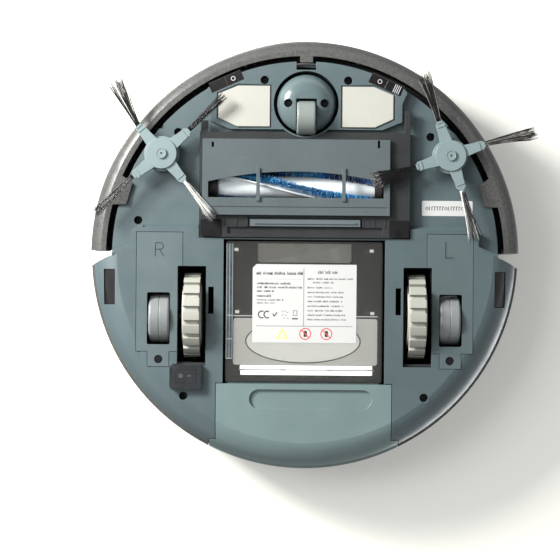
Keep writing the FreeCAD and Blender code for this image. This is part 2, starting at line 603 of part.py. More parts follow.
def helix_blade(phase, r0, r1, wide, turns, n):
    """One blade that winds round the X axis, as a ruled loft of turned rectangles."""
    wires = []
    for i in range(n + 1):
        t = i / float(n)
        a = math.radians(phase + 360.0 * turns * t)
        x = -68.0 + (BW - 2.0) * t
        u = V(0, math.cos(a), math.sin(a))
        w = V(0, -math.sin(a), math.cos(a))
        c = [u * r0 - w * (wide / 2), u * r1 - w * (wide / 2 * 1.25), u * r1 + w * (wide / 2 * 1.25), u * r0 + w * (wide / 2)]
        wires.append(Part.makePolygon([V(x, 0, 0) + p for p in c] + [V(x, 0, 0) + c[0]]))
    return Part.makeLoft(wires, True, True)


blades = [helix_blade(ph, f(D["core_rad"]) + 0.15, f(D["brush_rad"]) - 0.5, 3.6, 0.5, 10) for ph in (-150.0, 30.0)]
ft = doc.addObject("Part::Feature", "brush_bristles")
ft.Shape = Part.makeCompound(blades)
ft.Label = "brush_bristles"
place(ft, 0.0, D["brush_y"], D["brush_z"])
keep(ft)

# ---------------------------------------------------------------- 9 charging contacts and windows
b = new_body("charge_contacts")
pad(b, BZ - 0.4, BZ + 1.4, [("poly", PAD_L), ("poly", PAD_R)])

wins = []
for i, (cx, cy, a) in enumerate(FRONT_WINDOWS):
    w = block("front_window_%d" % i, -13.5, 13.5, -4.0, 4.0, 0.0, 2.0)
    ang = math.radians(a)
    w.Placement = FreeCAD.Placement(V(cx, cy, f(BZ + 0.6)), FreeCAD.Rotation(V(0, 0, 1), a)) * \
        FreeCAD.Placement(V(-13.5, -4.0, 0), FreeCAD.Rotation())
    wins.append(w)
for i, sgn in enumerate((-1.0, 1.0)):
    wb = doc.addObject("PartDesign::Body", "side_window_%d" % i)
    if hasattr(wb, "AllowCompound"):
        wb.AllowCompound = True
    turn_about_z(wb, ("path", [("m", 148.0, 14.6), ("a", 160.3, 21.1, 167.4, 36.0), ("l", 165.2, 36.0),
                               ("a", 158.6, 22.6, 148.0, 16.6)]), 0.0 if sgn > 0 else 160.0, 20.0)
    bx = block("side_window_box_%d" % i, *(sorted([sgn * 158.0, sgn * 149.8]) + [12.6, 39.8, 10.0, 40.0]))
    c = doc.addObject("Part::Common", "side_window_cut_%d" % i)
    c.Base = wb
    c.Tool = bx
    wins.append(c)
keep(group("cliff_sensor_windows", wins))

# ---------------------------------------------------------------- 10 caster
CY = D["caster_y"]
b = new_body("caster_dome")
turn_about_z(b, ("path", [("m", 0.0, 6.2), ("l", 7.0, 6.5), ("a", 17.4, 9.4, 22.9, 16.0), ("l", 22.9, 31.5), ("l", 0.0, 31.5)]))
pad(b, 31.0, 39.6, [("circ", 0.0, 0.0, 8.0)])
pad(b, 39.0, 45.0, [("circ", 0.0, 0.0, 5.0)])
pocket(b, 0.0, 28.6, [("rect", -8.1, -3.2, 8.1, 30.0)])
pocket(b, 0.0, 15.0, [("circ", -14.2, 0.3, D["screw_hole"]), ("circ", 14.2, 0.3, D["screw_hole"])])
s = sketch(b, [("circ", D["caster_trail"], D["caster_rad"], 1.5)], "YZ_Plane", -14.0)
p = b.newObject("PartDesign::Pocket", "caster_pin_hole")
p.Profile = s
p.Length = 28.0
p.Reversed = True
place(b, 0.0, CY, 0.0)
keep(cyl_x("caster_axle", 1.5, -14.0, 14.0, CY + D["caster_trail"], D["caster_rad"]))
keep(group("caster_screws", [cyl("caster_screw_a", D["screw_rad"], 2.4, -14.2, CY + 0.3, 12.6),
                             cyl("caster_screw_b", D["screw_rad"], 2.4, 14.2, CY + 0.3, 12.6)]))
b = new_body("caster_wheel")
cw = D["caster_wide"].v / 2
turn_about_z(b, ("path", [("m", 1.56, -cw), ("l", 11.8, -cw), ("a", 12.9, -cw + 0.5, 13.3, -cw + 1.6), ("l", 13.3, cw - 1.6),
                          ("a", 12.9, cw - 0.5, 11.8, cw), ("l", 1.56, cw)]))
place(b, 0.0, CY + D["caster_trail"], D["caster_rad"], (0, 1, 0), 90)

# ---------------------------------------------------------------- 11 side brushes
HX, HY = D["hub_x"], D["hub_y"]
for side, sgn, a0 in (("left", -1.0, 50.0), ("right", 1.0, 71.0)):
    b = new_body("side_brush_" + side)
    pad(b, 12.4, 19.4, [("circ", 0.0, 0.0, D["hub_rad"])])
    pad(b, 6.4, 12.4, [("circ", 0.0, 0.0, D["disc_r_hub"])])
    pad(b, 5.4, 6.4, [("circ", 0.0, 0.0, 3.2)])
    pad(b, 19.4, 38.0, [("circ", 0.0, 0.0, D["axle_rad"])])
    c, s_ = math.cos(math.radians(a0)), math.sin(math.radians(a0))
    arm = [(8.0, -5.2), (20.0, -3.8), (26.4, -3.6), (27.5, -2.0), (27.5, 2.0), (26.4, 3.6), (20.0, 3.8), (8.0, 5.2)]
    arm = pad(b, 7.6, 11.2, [("poly", [(x * c - y * s_, x * s_ + y * c) for x, y in arm])])
    polar(b, arm, 4)
    place(b, HX * sgn, HY, 0.0)
    b = new_body("side_bristles_" + side)
    blade = [(27.6, -2.6), (70.0, -5.0), (70.0, 5.0), (27.6, 2.6)]
    blade = pad(b, 4.6, 7.2, [("poly", [(x * c - y * s_, x * s_ + y * c) for x, y in blade])])
    polar(b, blade, 4)
    place(b, HX * sgn, HY, 0.0)

# ---------------------------------------------------------------- 12 wheel modules
for side, sgn in (("left", -1.0), ("right", 1.0)):
    def mx(x0, x1):
        return sorted([sgn * x0, sgn * x1])
    # cover plate with ears that carry the small roller
    b = new_body("module_cover_" + side)
    out = COVER_L if sgn < 0 else COVER_R
    pad(b, BZ - 0.1, BZ + 1.9, [("poly", out)])
    x = mx(124.6, 105.2)
    ear_o, ear_i = mx(125.8, 123.9), mx(105.7, 103.9)
    pad(b, BZ, 33.2, [("rect", ear_o[0], 46.0, ear_o[1], 55.6), ("rect", ear_i[0], 46.0, ear_i[1], 55.6)])
    rx = mx(123.8, 105.75)
    pocket(b, 10.0, BZ + 4, [("rrect", rx[0], 30.3, rx[1], 71.2, 1.5)])
    wx = mx(100.0, 90.0)
    pocket(b, 10.0, BZ + 4, [("rect", wx[0], 9.4, wx[1], 80.0)])
    pocket(b, 10.0, BZ + 4, [("circ", COVER_SCREWS[0 if sgn < 0 else 1][0], COVER_SCREWS[0 if sgn < 0 else 1][1], D["screw_hole"])])
    s = sketch(b, [("circ", D["roller_y"], D["roller_z"], D["pin_rad"])], "YZ_Plane", min(sgn * 126.5, sgn * 103.0))
    p = b.newObject("PartDesign::Pocket", "roller_pin_hole_" + side)
    p.Profile = s
    p.Length = 24.0
    p.Reversed = True

    # roller: two halves' width in one turned piece with a parting groove
    b = new_body("roller_" + side)
    hw = D["roller_wide"].v / 2
    turn_about_z(b, ("path", [("m", 2.56, -hw), ("l", 17.6, -hw), ("a", 18.9, -hw + 0.6, 19.5, -hw + 1.9), ("l", 19.5, -0.4),
                              ("l", 19.1, 0.0), ("l", 19.5, 0.4), ("l", 19.5, hw - 1.9), ("a", 18.9, hw - 0.6, 17.6, hw),
                              ("l", 2.56, hw)]))
    place(b, D["roller_x"] * sgn, D["roller_y"], D["roller_z"], (0, 1, 0), 90)

    # swing arm: side plate, gearbox, pivot pin, axle and spring seat
    b = new_body("drive_arm_" + side)
    def padx(x0, x1, loops):
        s = sketch(b, loops, "YZ_Plane", min(sgn * x0, sgn * x1))
        p = b.newObject("PartDesign::Pad", b.Label + "_pad")
        p.Profile = s
        p.Length = abs(x1 - x0)
        return p
    padx(103.2, 99.8, [("path", [("m", -14.0, 27.0), ("l", 14.0, 27.0), ("l", 30.0, 29.0), ("l", 47.6, 28.3), ("a", 53.2, 35.0, 48.2, 38.7),
                                 ("l", 40.0, 43.0), ("l", 28.0, 53.0), ("l", -14.0, 53.0)])])
    padx(128.0, 103.1, [("rect", -14.0, 27.0, 14.0, 53.0)])
    padx(114.0, 103.1, [("rect", 13.0, 44.0, 28.0, 47.4)])
    padx(132.4, 76.5, [("circ", D["arm_y"], D["arm_z"], D["axle_rad"])])
    padx(99.9, 82.5, [("circ", D["wheel_y"], D["wheel_rad"], D["axle_rad"])])

    keep(cyl_x("wheel_motor_" + side, 9.0, *(mx(128.0, 104.0) + [0.0, 62.05])))

    b = new_body("wheel_hub_" + side)
    turn_about_z(b, ("path", [("m", D["axle_rad"].v + 0.06, -6.8), ("l", 7.0, -6.8), ("l", 7.0, -4.0), ("l", 21.0, -4.0), ("l", 22.4, -7.6), ("l", 25.0, -7.6),
                              ("l", 25.0, 7.6), ("l", 22.4, 7.6), ("l", 21.0, 4.0), ("l", 7.0, 4.0), ("l", 7.0, 6.8), ("l", D["axle_rad"].v + 0.06, 6.8)]))
    lg = pocket(b, -10.0, 10.0, [("circ", 14.0, 0.0, 3.6)])
    polar(b, lg, 6)
    place(b, D["wheel_x"] * sgn, D["wheel_y"], D["wheel_rad"], (0, 1, 0), 90)
    b = new_body("wheel_tyre_" + side)
    turn_about_z(b, ("path", [("m", 25.0, -6.5), ("l", 29.6, -6.5), ("l", 31.0, -5.6), ("l", 31.0, 5.6), ("l", 29.6, 6.5), ("l", 25.0, 6.5)]))
    lug = pad(b, -6.4, 6.4, [ring_sector(30.4, D["wheel_rad"].v, -6.0, 6.0)])
    polar(b, lug, 19)
    place(b, D["wheel_x"] * sgn, D["wheel_y"], D["wheel_rad"], (0, 1, 0), 90)

    # suspension spring between the arm's seat and the roof of the well
    sp = doc.addObject("Part::Helix", "suspension_coil_" + side)
    sp.Pitch = 4.0
    sp.Height = 23.4
    sp.Radius = 4.2
    sp.Placement = FreeCAD.Placement(V(sgn * 108.7, 21.5, 48.8), FreeCAD.Rotation())
    pr = doc.addObject("Part::Circle", "suspension_wire_" + side)
    pr.Radius = 0.65
    pr.Placement = FreeCAD.Placement(V(sgn * 108.7 + 4.2, 21.5, 48.8), FreeCAD.Rotation(V(1, 0, 0), 90 + 8.6))
    sw = doc.addObject("Part::Sweep", "suspension_spring_" + side)
    sw.Sections = [pr]
    sw.Spine = (sp, [])
    sw.Solid = True
    sw.Frenet = True
    keep(sw)

# wells that close the two wheel modules from above
wells = []
for n, sgn in (("a", -1.0), ("b", 1.0)):
    wb = doc.addObject("PartDesign::Body", "wheel_well_" + n)
    if hasattr(wb, "AllowCompound"):
        wb.AllowCompound = True
    wo = [(-133.9, -17.4), (-133.9, 58.0), (-121.0, 83.0), (-117.0, 87.0), (-75.9, 87.0), (-75.9, -12.8), (-97.0, -12.8), (-97.0, -17.4)]
    wi = [(-132.5, -16.5), (-132.5, 57.6), (-119.8, 82.0), (-116.4, 85.5), (-77.4, 85.5), (-77.4, -11.3), (-98.5, -11.3), (-98.5, -16.5)]
    if sgn > 0:
        wo, wi = mirror_pts(wo), mirror_pts(wi)
    pad(wb, 17.05, 75.0, [("poly", wo), ("poly", wi)])
    pad(wb, 73.5, 75.0, [("poly", wo)])
    sk = sketch(wb, [("circ", D["arm_y"], D["arm_z"], D["axle_rad"] + D["fit_gap"])], "YZ_Plane", -140.0)
    pk = wb.newObject("PartDesign::Pocket", "well_pivot_" + n)
    pk.Profile = sk
    pk.Length = 280.0
    pk.Reversed = True
    wells.append(wb)
keep(group("wheel_wells", wells))

pins = [cyl_x("roller_pin_a", D["pin_rad"], -125.8, -103.9, D["roller_y"], D["roller_z"]),
        cyl_x("roller_pin_b", D["pin_rad"], 103.9, 125.8, D["roller_y"], D["roller_z"])]
keep(group("roller_pins", pins))

# ---------------------------------------------------------------- 13 bin bay and suction duct
b = new_body("bin_bay")
pad(b, 17.05, 66.0, [("poly", [(-66.0, -13.5), (65.0, -13.5), (65.0, 134.0), (63.5, 134.0), (63.5, -12.0), (-64.5, -12.0), (-64.5, 134.0), (-66.0, 134.0)])])
pad(b, 64.4, 66.0, [("rect", -66.0, -13.5, 65.0, 134.0)])
pocket(b, 16.0, 19.0, [("rect", -70.0, 100.0, 70.0, 136.0)])
pad(b, 18.0, 43.0, [("rect", -47.0, -29.1, 42.0, -12.5)])
s = sketch(b, [("rect", -44.5, 19.8, 39.5, 41.2)], "XZ_Plane", 5.0)
p = b.newObject("PartDesign::Pocket", "duct_hole")
p.Profile = s
p.Length = 26.0
p.Reversed = True

# ---------------------------------------------------------------- 14 dust bin
b = new_body("bin_body")
XL, XR, YF, YB, BL_, BT_, BW_ = D["bin_left"], D["bin_right"], D["bin_front"], D["bin_back"], D["bin_low_z"], D["bin_top_z"], D["bin_wall"]
pad(b, BL_, BT_, [("rrect", XL, YF, XR, YB, 2.0)])
pocket(b, BL_ + BW_, BT_ - BW_, [("rect", XL + BW_, YF + BW_, XR - BW_, YB - BW_)])
s = sketch(b, [("rect", -43.5, 20.5, 38.5, 40.5)], "XZ_Plane", 5.0)
p = b.newObject("PartDesign::Pocket", "bin_inlet")
p.Profile = s
p.Length = 12.0
p.Reversed = True

b = new_body("bin_flap")
pad(b, BL_ + BW_, BL_ + BW_ + 1.4, [("path", [("m", -37.0, -8.9), ("l", 36.5, -8.9), ("l", 36.5, 3.0), ("a", 35.6, 5.1, 33.5, 6.0), ("l", -34.0, 6.0),
                                              ("a", -36.1, 5.1, -37.0, 3.0)])])
b = new_body("bin_filter")
pad(b, BL_ + BW_, 57.6, [("rect", -50.0, 87.0, 54.0, 94.5)])
pocket(b, 20.5, 56.0, [("rect", -48.0, 86.0, 52.0, 88.5), ("rect", -48.0, 93.2, 52.0, 95.5)])
pl = pocket(b, BL_, 18.0, [("rect", -50.0, 89.6, 54.0, 90.6)])

b = new_body("bin_rear_cover")
turn_about_z(b, ("path", [("m", 90.0, 14.0), ("l", 148.0, 14.0), ("a", 160.8, 20.6, 168.0, 36.0), ("l", 170.0, 37.0), ("l", 170.0, 62.8), ("l", 167.0, 62.8),
                          ("l", 167.0, 38.2), ("l", 165.0, 36.4), ("a", 157.9, 23.0, 147.0, 18.0), ("l", 90.0, 18.0)]), 50.0, 80.0)
pocket(b, 10.0, 70.0, [("rect", -200.0, -10.0, 200.0, 220.0), ("poly", BIN_COVER)])
pad(b, BZ + 2, 58.0, [("rect", -60.0, YB, 59.0, 104.0)])
pocket(b, 10.0, BZ + 2.0, [("path", [("m", -35.5, 106.0), ("l", 46.1, 106.0), ("a", 53.6, 113.5, 46.1, 121.0), ("l", -35.5, 121.0), ("a", -43.0, 113.5, -35.5, 106.0)])])

b = new_body("rating_label")
pad(b, BL_ - 0.2, BL_, [("poly", [(-38.0, 7.4), (40.7, 7.4), (40.7, 69.0), (-41.0, 69.0), (-41.0, 10.4)])])
b = new_body("serial_label")
pad(b, FZ - 0.2, FZ, [("rrect", 92.0, -43.7, 132.0, -31.8, 1.0)])

# ---------------------------------------------------------------- 15 power switch
b = new_body("switch_bezel")
pad(b, BZ - 1.2, BZ + 18.0, [("rect", -104.0, 87.5, -81.5, 104.9)])
pocket(b, 5.0, BZ + 14.0, [("rect", -101.1, 90.3, -83.9, 101.7)])
b = new_body("power_rocker")
rl = D["rocker_long"].v / 2
s = sketch(b, [("poly", [(-rl, -4.4), (-rl, 1.6), (rl, 1.6), (rl, -4.4), (0.0, -2.6)]), ("circ", 0.0, 0.0, 0.8)], "XZ_Plane", -D["rocker_wide"] / 2)
p = b.newObject("PartDesign::Pad", "rocker_pad")
p.Profile = s
p.Length = D["rocker_wide"].v
bind(p, "Length", D["rocker_wide"])
place(b, D["switch_x"], D["switch_y"], 17.4, (0, 1, 0), 7.0)
b = new_body("switch_boot")
pad(b, 9.4, BZ, [("rrect", -105.5, 86.0, -80.0, 106.4, 2.5)])
pocket(b, 10.4, 15.0, [("rrect", -104.5, 87.0, -81.0, 105.4, 1.8)])

# ---------------------------------------------------------------- 16 fasteners, springs, switches, inlet
screws = []
for i, (x, y) in enumerate(HOLES):
    low = FZ if abs(x) > 95 and y < -20 else BZ
    screws.append(fuse("chassis_screw_%d" % i, [cyl("screw_head_%d" % i, D["screw_rad"], 2.2, x, y, low + 7.8),
                                                cyl("screw_shank_%d" % i, 1.5, 7.0, x, y, low + 9.5)]))
for i, (x, y) in enumerate(COVER_SCREWS):
    screws.append(cyl("cover_screw_%d" % i, D["screw_rad"], 1.6, x, y, BZ + 0.4))
keep(group("chassis_screws", screws))

coils = []
for i, sgn in enumerate((-1.0, 1.0)):
    hx = doc.addObject("Part::Helix", "bumper_coil_%d" % i)
    hx.Pitch = 3.0
    hx.Height = 10.5
    hx.Radius = 4.0
    hx.Placement = FreeCAD.Placement(V(sgn * 45.0, -148.0, 50.0), FreeCAD.Rotation(V(1, 0, 0), 90))
    pr = doc.addObject("Part::Circle", "bumper_wire_%d" % i)
    pr.Radius = 0.5
    pr.Placement = FreeCAD.Placement(V(sgn * 45.0 + 4.0, -148.0, 50.0), FreeCAD.Rotation(V(1, 0, 0), 6.8))
    sw = doc.addObject("Part::Sweep", "bumper_spring_%d" % i)
    sw.Sections = [pr]
    sw.Spine = (hx, [])
    sw.Solid = True
    sw.Frenet = True
    coils.append(sw)
keep(group("bumper_springs", coils))

sws = []
for i, a in enumerate((232.0, 308.0)):
    wb = block("bumper_switch_%d" % i, 0, 6.0, 0, 20.0, 0, 10.0)
    c = FreeCAD.Placement(V(0, 0, 0), FreeCAD.Rotation(V(0, 0, 1), a)) * FreeCAD.Placement(V(152.9, -10.0, 36.0), FreeCAD.Rotation())
    wb.Placement = c
    sws.append(wb)
keep(group("bumper_switches", sws))

jack = fuse("charge_jack_blank", [cyl_x("jack_flange", 6.4, -167.0, -164.8, 30.0, 52.0), cyl_x("jack_barrel", 5.0, -165.0, -150.0, 30.0, 52.0)])
keep(cut("charge_jack", jack, cyl_x("jack_bore", D["jack_rad"], -170.0, -155.0, 30.0, 52.0)))

# ---------------------------------------------------------------- check and write
doc.recompute()
bad = [o.Name for o in doc.Objects if "Invalid" in o.State or "Error" in o.State]
if bad:
    raise RuntimeError("failed objects: " + ", ".join(bad))
os.makedirs("parts", exist_ok=True)
labels = set()
for o in parts:
    name = o.Label
    if name in labels:
        raise RuntimeError("label used twice: " + name)
    labels.add(name)
    shp = o.Shape
    if shp.isNull() or not shp.isValid() or not shp.Solids:
        raise RuntimeError("bad shape: " + name)
for old in os.listdir("parts"):
    if old.endswith(".step") and old[:-5] not in labels:
        os.remove(os.path.join("parts", old))
for o in parts:
    o.Shape.exportStep("parts/%s.step" % o.Label)
    bb = o.Shape.BoundBox
    print("%-26s solids %2d vol %10.1f  x %.1f..%.1f y %.1f..%.1f z %.1f..%.1f" % (
        o.Label, len(o.Shape.Solids), o.Shape.Volume, bb.XMin, bb.XMax, bb.YMin, bb.YMax, bb.ZMin, bb.ZMax))
print("parts:", len(parts))
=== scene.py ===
import math
import random

import bmesh
import bpy
from mathutils import Matrix, Vector


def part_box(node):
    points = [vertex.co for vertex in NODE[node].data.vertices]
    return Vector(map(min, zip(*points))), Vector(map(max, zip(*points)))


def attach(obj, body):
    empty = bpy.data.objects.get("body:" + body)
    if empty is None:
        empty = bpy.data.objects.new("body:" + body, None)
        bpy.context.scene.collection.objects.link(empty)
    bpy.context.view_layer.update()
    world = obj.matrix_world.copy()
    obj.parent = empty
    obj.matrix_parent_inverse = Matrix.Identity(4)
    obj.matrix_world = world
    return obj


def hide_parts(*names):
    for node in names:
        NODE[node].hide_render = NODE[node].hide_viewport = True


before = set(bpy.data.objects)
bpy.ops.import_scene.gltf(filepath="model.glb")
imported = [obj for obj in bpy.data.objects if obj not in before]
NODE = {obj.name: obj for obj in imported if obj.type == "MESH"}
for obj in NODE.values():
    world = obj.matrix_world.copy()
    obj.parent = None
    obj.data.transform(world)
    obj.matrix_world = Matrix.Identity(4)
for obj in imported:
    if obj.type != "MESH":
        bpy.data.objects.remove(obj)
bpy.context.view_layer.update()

MM = 0.001
rnd = random.Random(20)


# ------------------------------------------------------------------ materials
def lin(c):
    c = c / 255.0
    return c / 12.92 if c <= 0.04045 else ((c + 0.055) / 1.055) ** 2.4


def col(r, g, b):
    return (lin(r), lin(g), lin(b), 1.0)


def node(nt, kind, **kw):
    n = nt.nodes.new(kind)
    for k, v in kw.items():
        setattr(n, k, v)
    return n


def material(name, rgb, rough=0.45, metal=0.0, coat=0.0, spec=0.5, vary=0.06, vary_scale=22.0,
             grain=0.0, grain_scale=1500.0, edge=0.0, fleck=0.0, fleck_scale=900.0, sheen=0.0,
             rough_vary=0.06, wear=0.0, streak=0.0):
    """Procedural surface: broad colour variation, fine grain, rounded edges and optional metallic flecks."""
    m = bpy.data.materials.new(name)
    m.use_nodes = True
    nt = m.node_tree
    p = nt.nodes["Principled BSDF"]
    base = col(*rgb)
    p.inputs["Base Color"].default_value = base
    p.inputs["Roughness"].default_value = rough
    p.inputs["Metallic"].default_value = metal
    p.inputs["Specular IOR Level"].default_value = spec
    p.inputs["Coat Weight"].default_value = coat
    p.inputs["Coat Roughness"].default_value = 0.12
    if sheen:
        p.inputs["Sheen Weight"].default_value = sheen
    tc = node(nt, "ShaderNodeTexCoord")
    link = nt.links.new
    if vary or fleck:
        n1 = node(nt, "ShaderNodeTexNoise")
        n1.inputs["Scale"].default_value = vary_scale
        n1.inputs["Detail"].default_value = 5.0
        n1.inputs["Roughness"].default_value = 0.62
        link(tc.outputs["Object"], n1.inputs["Vector"])
        r1 = node(nt, "ShaderNodeValToRGB")
        lo = [max(0.0, c * (1 - vary)) for c in base[:3]]
        hi = [min(1.0, c * (1 + vary)) for c in base[:3]]
        r1.color_ramp.elements[0].position = 0.34
        r1.color_ramp.elements[0].color = lo + [1]
        r1.color_ramp.elements[1].position = 0.66
        r1.color_ramp.elements[1].color = hi + [1]
        link(n1.outputs["Fac"], r1.inputs["Fac"])
        out = r1.outputs["Color"]
        if fleck:
            n2 = node(nt, "ShaderNodeTexVoronoi")
            n2.inputs["Scale"].default_value = fleck_scale
            link(tc.outputs["Object"], n2.inputs["Vector"])
            r2 = node(nt, "ShaderNodeValToRGB")
            r2.color_ramp.elements[0].position = 0.0
            r2.color_ramp.elements[0].color = [max(0.0, c * (1 - fleck)) for c in base[:3]] + [1]
            r2.color_ramp.elements[1].position = 1.0
            r2.color_ramp.elements[1].color = [min(1.0, c * (1 + 1.6 * fleck) + 0.1 * fleck) for c in base[:3]] + [1]
            link(n2.outputs["Color"], r2.inputs["Fac"])
            mx = node(nt, "ShaderNodeMix", data_type="RGBA")
            mx.inputs["Factor"].default_value = 0.6
            link(out, mx.inputs["A"])
            link(r2.outputs["Color"], mx.inputs["B"])
            out = mx.outputs["Result"]
        link(out, p.inputs["Base Color"])
    if rough_vary:
        n3 = node(nt, "ShaderNodeTexNoise")
        n3.inputs["Scale"].default_value = vary_scale * 3.1
        n3.inputs["Detail"].default_value = 6.0
        link(tc.outputs["Object"], n3.inputs["Vector"])
        mr = node(nt, "ShaderNodeMapRange")
        mr.inputs["From Min"].default_value = 0.3
        mr.inputs["From Max"].default_value = 0.7
        mr.inputs["To Min"].default_value = max(0.03, rough - rough_vary)
        mr.inputs["To Max"].default_value = min(1.0, rough + rough_vary)
        link(n3.outputs["Fac"], mr.inputs["Value"])
        link(mr.outputs["Result"], p.inputs["Roughness"])
    normal = None
    if edge:
        bv = node(nt, "ShaderNodeBevel")
        bv.samples = 4
        bv.inputs["Radius"].default_value = edge * MM
        normal = bv.outputs["Normal"]
    if grain:
        n4 = node(nt, "ShaderNodeTexNoise")
        n4.inputs["Scale"].default_value = grain_scale
        n4.inputs["Detail"].default_value = 2.0
        if streak:
            mp = node(nt, "ShaderNodeMapping")
            mp.inputs["Scale"].default_value = (1.0, streak, streak)
            link(tc.outputs["Object"], mp.inputs["Vector"])
            link(mp.outputs["Vector"], n4.inputs["Vector"])
        else:
            link(tc.outputs["Object"], n4.inputs["Vector"])
        bp = node(nt, "ShaderNodeBump")
        bp.inputs["Strength"].default_value = grain
        bp.inputs["Distance"].default_value = 0.00012
        link(n4.outputs["Fac"], bp.inputs["Height"])
        if normal is not None:
            link(normal, bp.inputs["Normal"])
        normal = bp.outputs["Normal"]
    if normal is not None:
        link(normal, p.inputs["Normal"])
    m.diffuse_color = base
    return m


def clear_material(name, tint, body=(150, 150, 145), see=0.7, gloss_rough=0.08, grain=0.2):
    """Clear moulded plastic: tinted see-through, a little body colour and a sharp gloss."""
    m = bpy.data.materials.new(name)
    m.use_nodes = True
    nt = m.node_tree
    link = nt.links.new
    p = nt.nodes["Principled BSDF"]
    p.inputs["Base Color"].default_value = col(*body)
    p.inputs["Roughness"].default_value = gloss_rough
    p.inputs["Specular IOR Level"].default_value = 0.6
    tr = node(nt, "ShaderNodeBsdfTransparent")
    tr.inputs["Color"].default_value = col(*tint)
    gl = node(nt, "ShaderNodeBsdfGlossy")
    gl.inputs["Roughness"].default_value = gloss_rough
    gl.inputs["Color"].default_value = (0.9, 0.9, 0.9, 1)
    fr = node(nt, "ShaderNodeFresnel")
    fr.inputs["IOR"].default_value = 1.5
    a = node(nt, "ShaderNodeMixShader")
    a.inputs[0].default_value = see
    link(p.outputs[0], a.inputs[1])
    link(tr.outputs[0], a.inputs[2])
    b = node(nt, "ShaderNodeMixShader")
    link(fr.outputs[0], b.inputs[0])
    link(a.outputs[0], b.inputs[1])
    link(gl.outputs[0], b.inputs[2])
    tc = node(nt, "ShaderNodeTexCoord")
    n = node(nt, "ShaderNodeTexNoise")
    n.inputs["Scale"].default_value = 140.0
    n.inputs["Detail"].default_value = 3.0
    link(tc.outputs["Object"], n.inputs["Vector"])
    bp = node(nt, "ShaderNodeBump")
    bp.inputs["Strength"].default_value = grain
    bp.inputs["Distance"].default_value = 0.0002
    link(n.outputs["Fac"], bp.inputs["Height"])
    for s in (p, gl):
        link(bp.outputs["Normal"], s.inputs["Normal"])
    link(bp.outputs["Normal"], fr.inputs["Normal"])
    link(b.outputs[0], nt.nodes["Material Output"].inputs["Surface"])
    m.diffuse_color = col(*body)
    return m


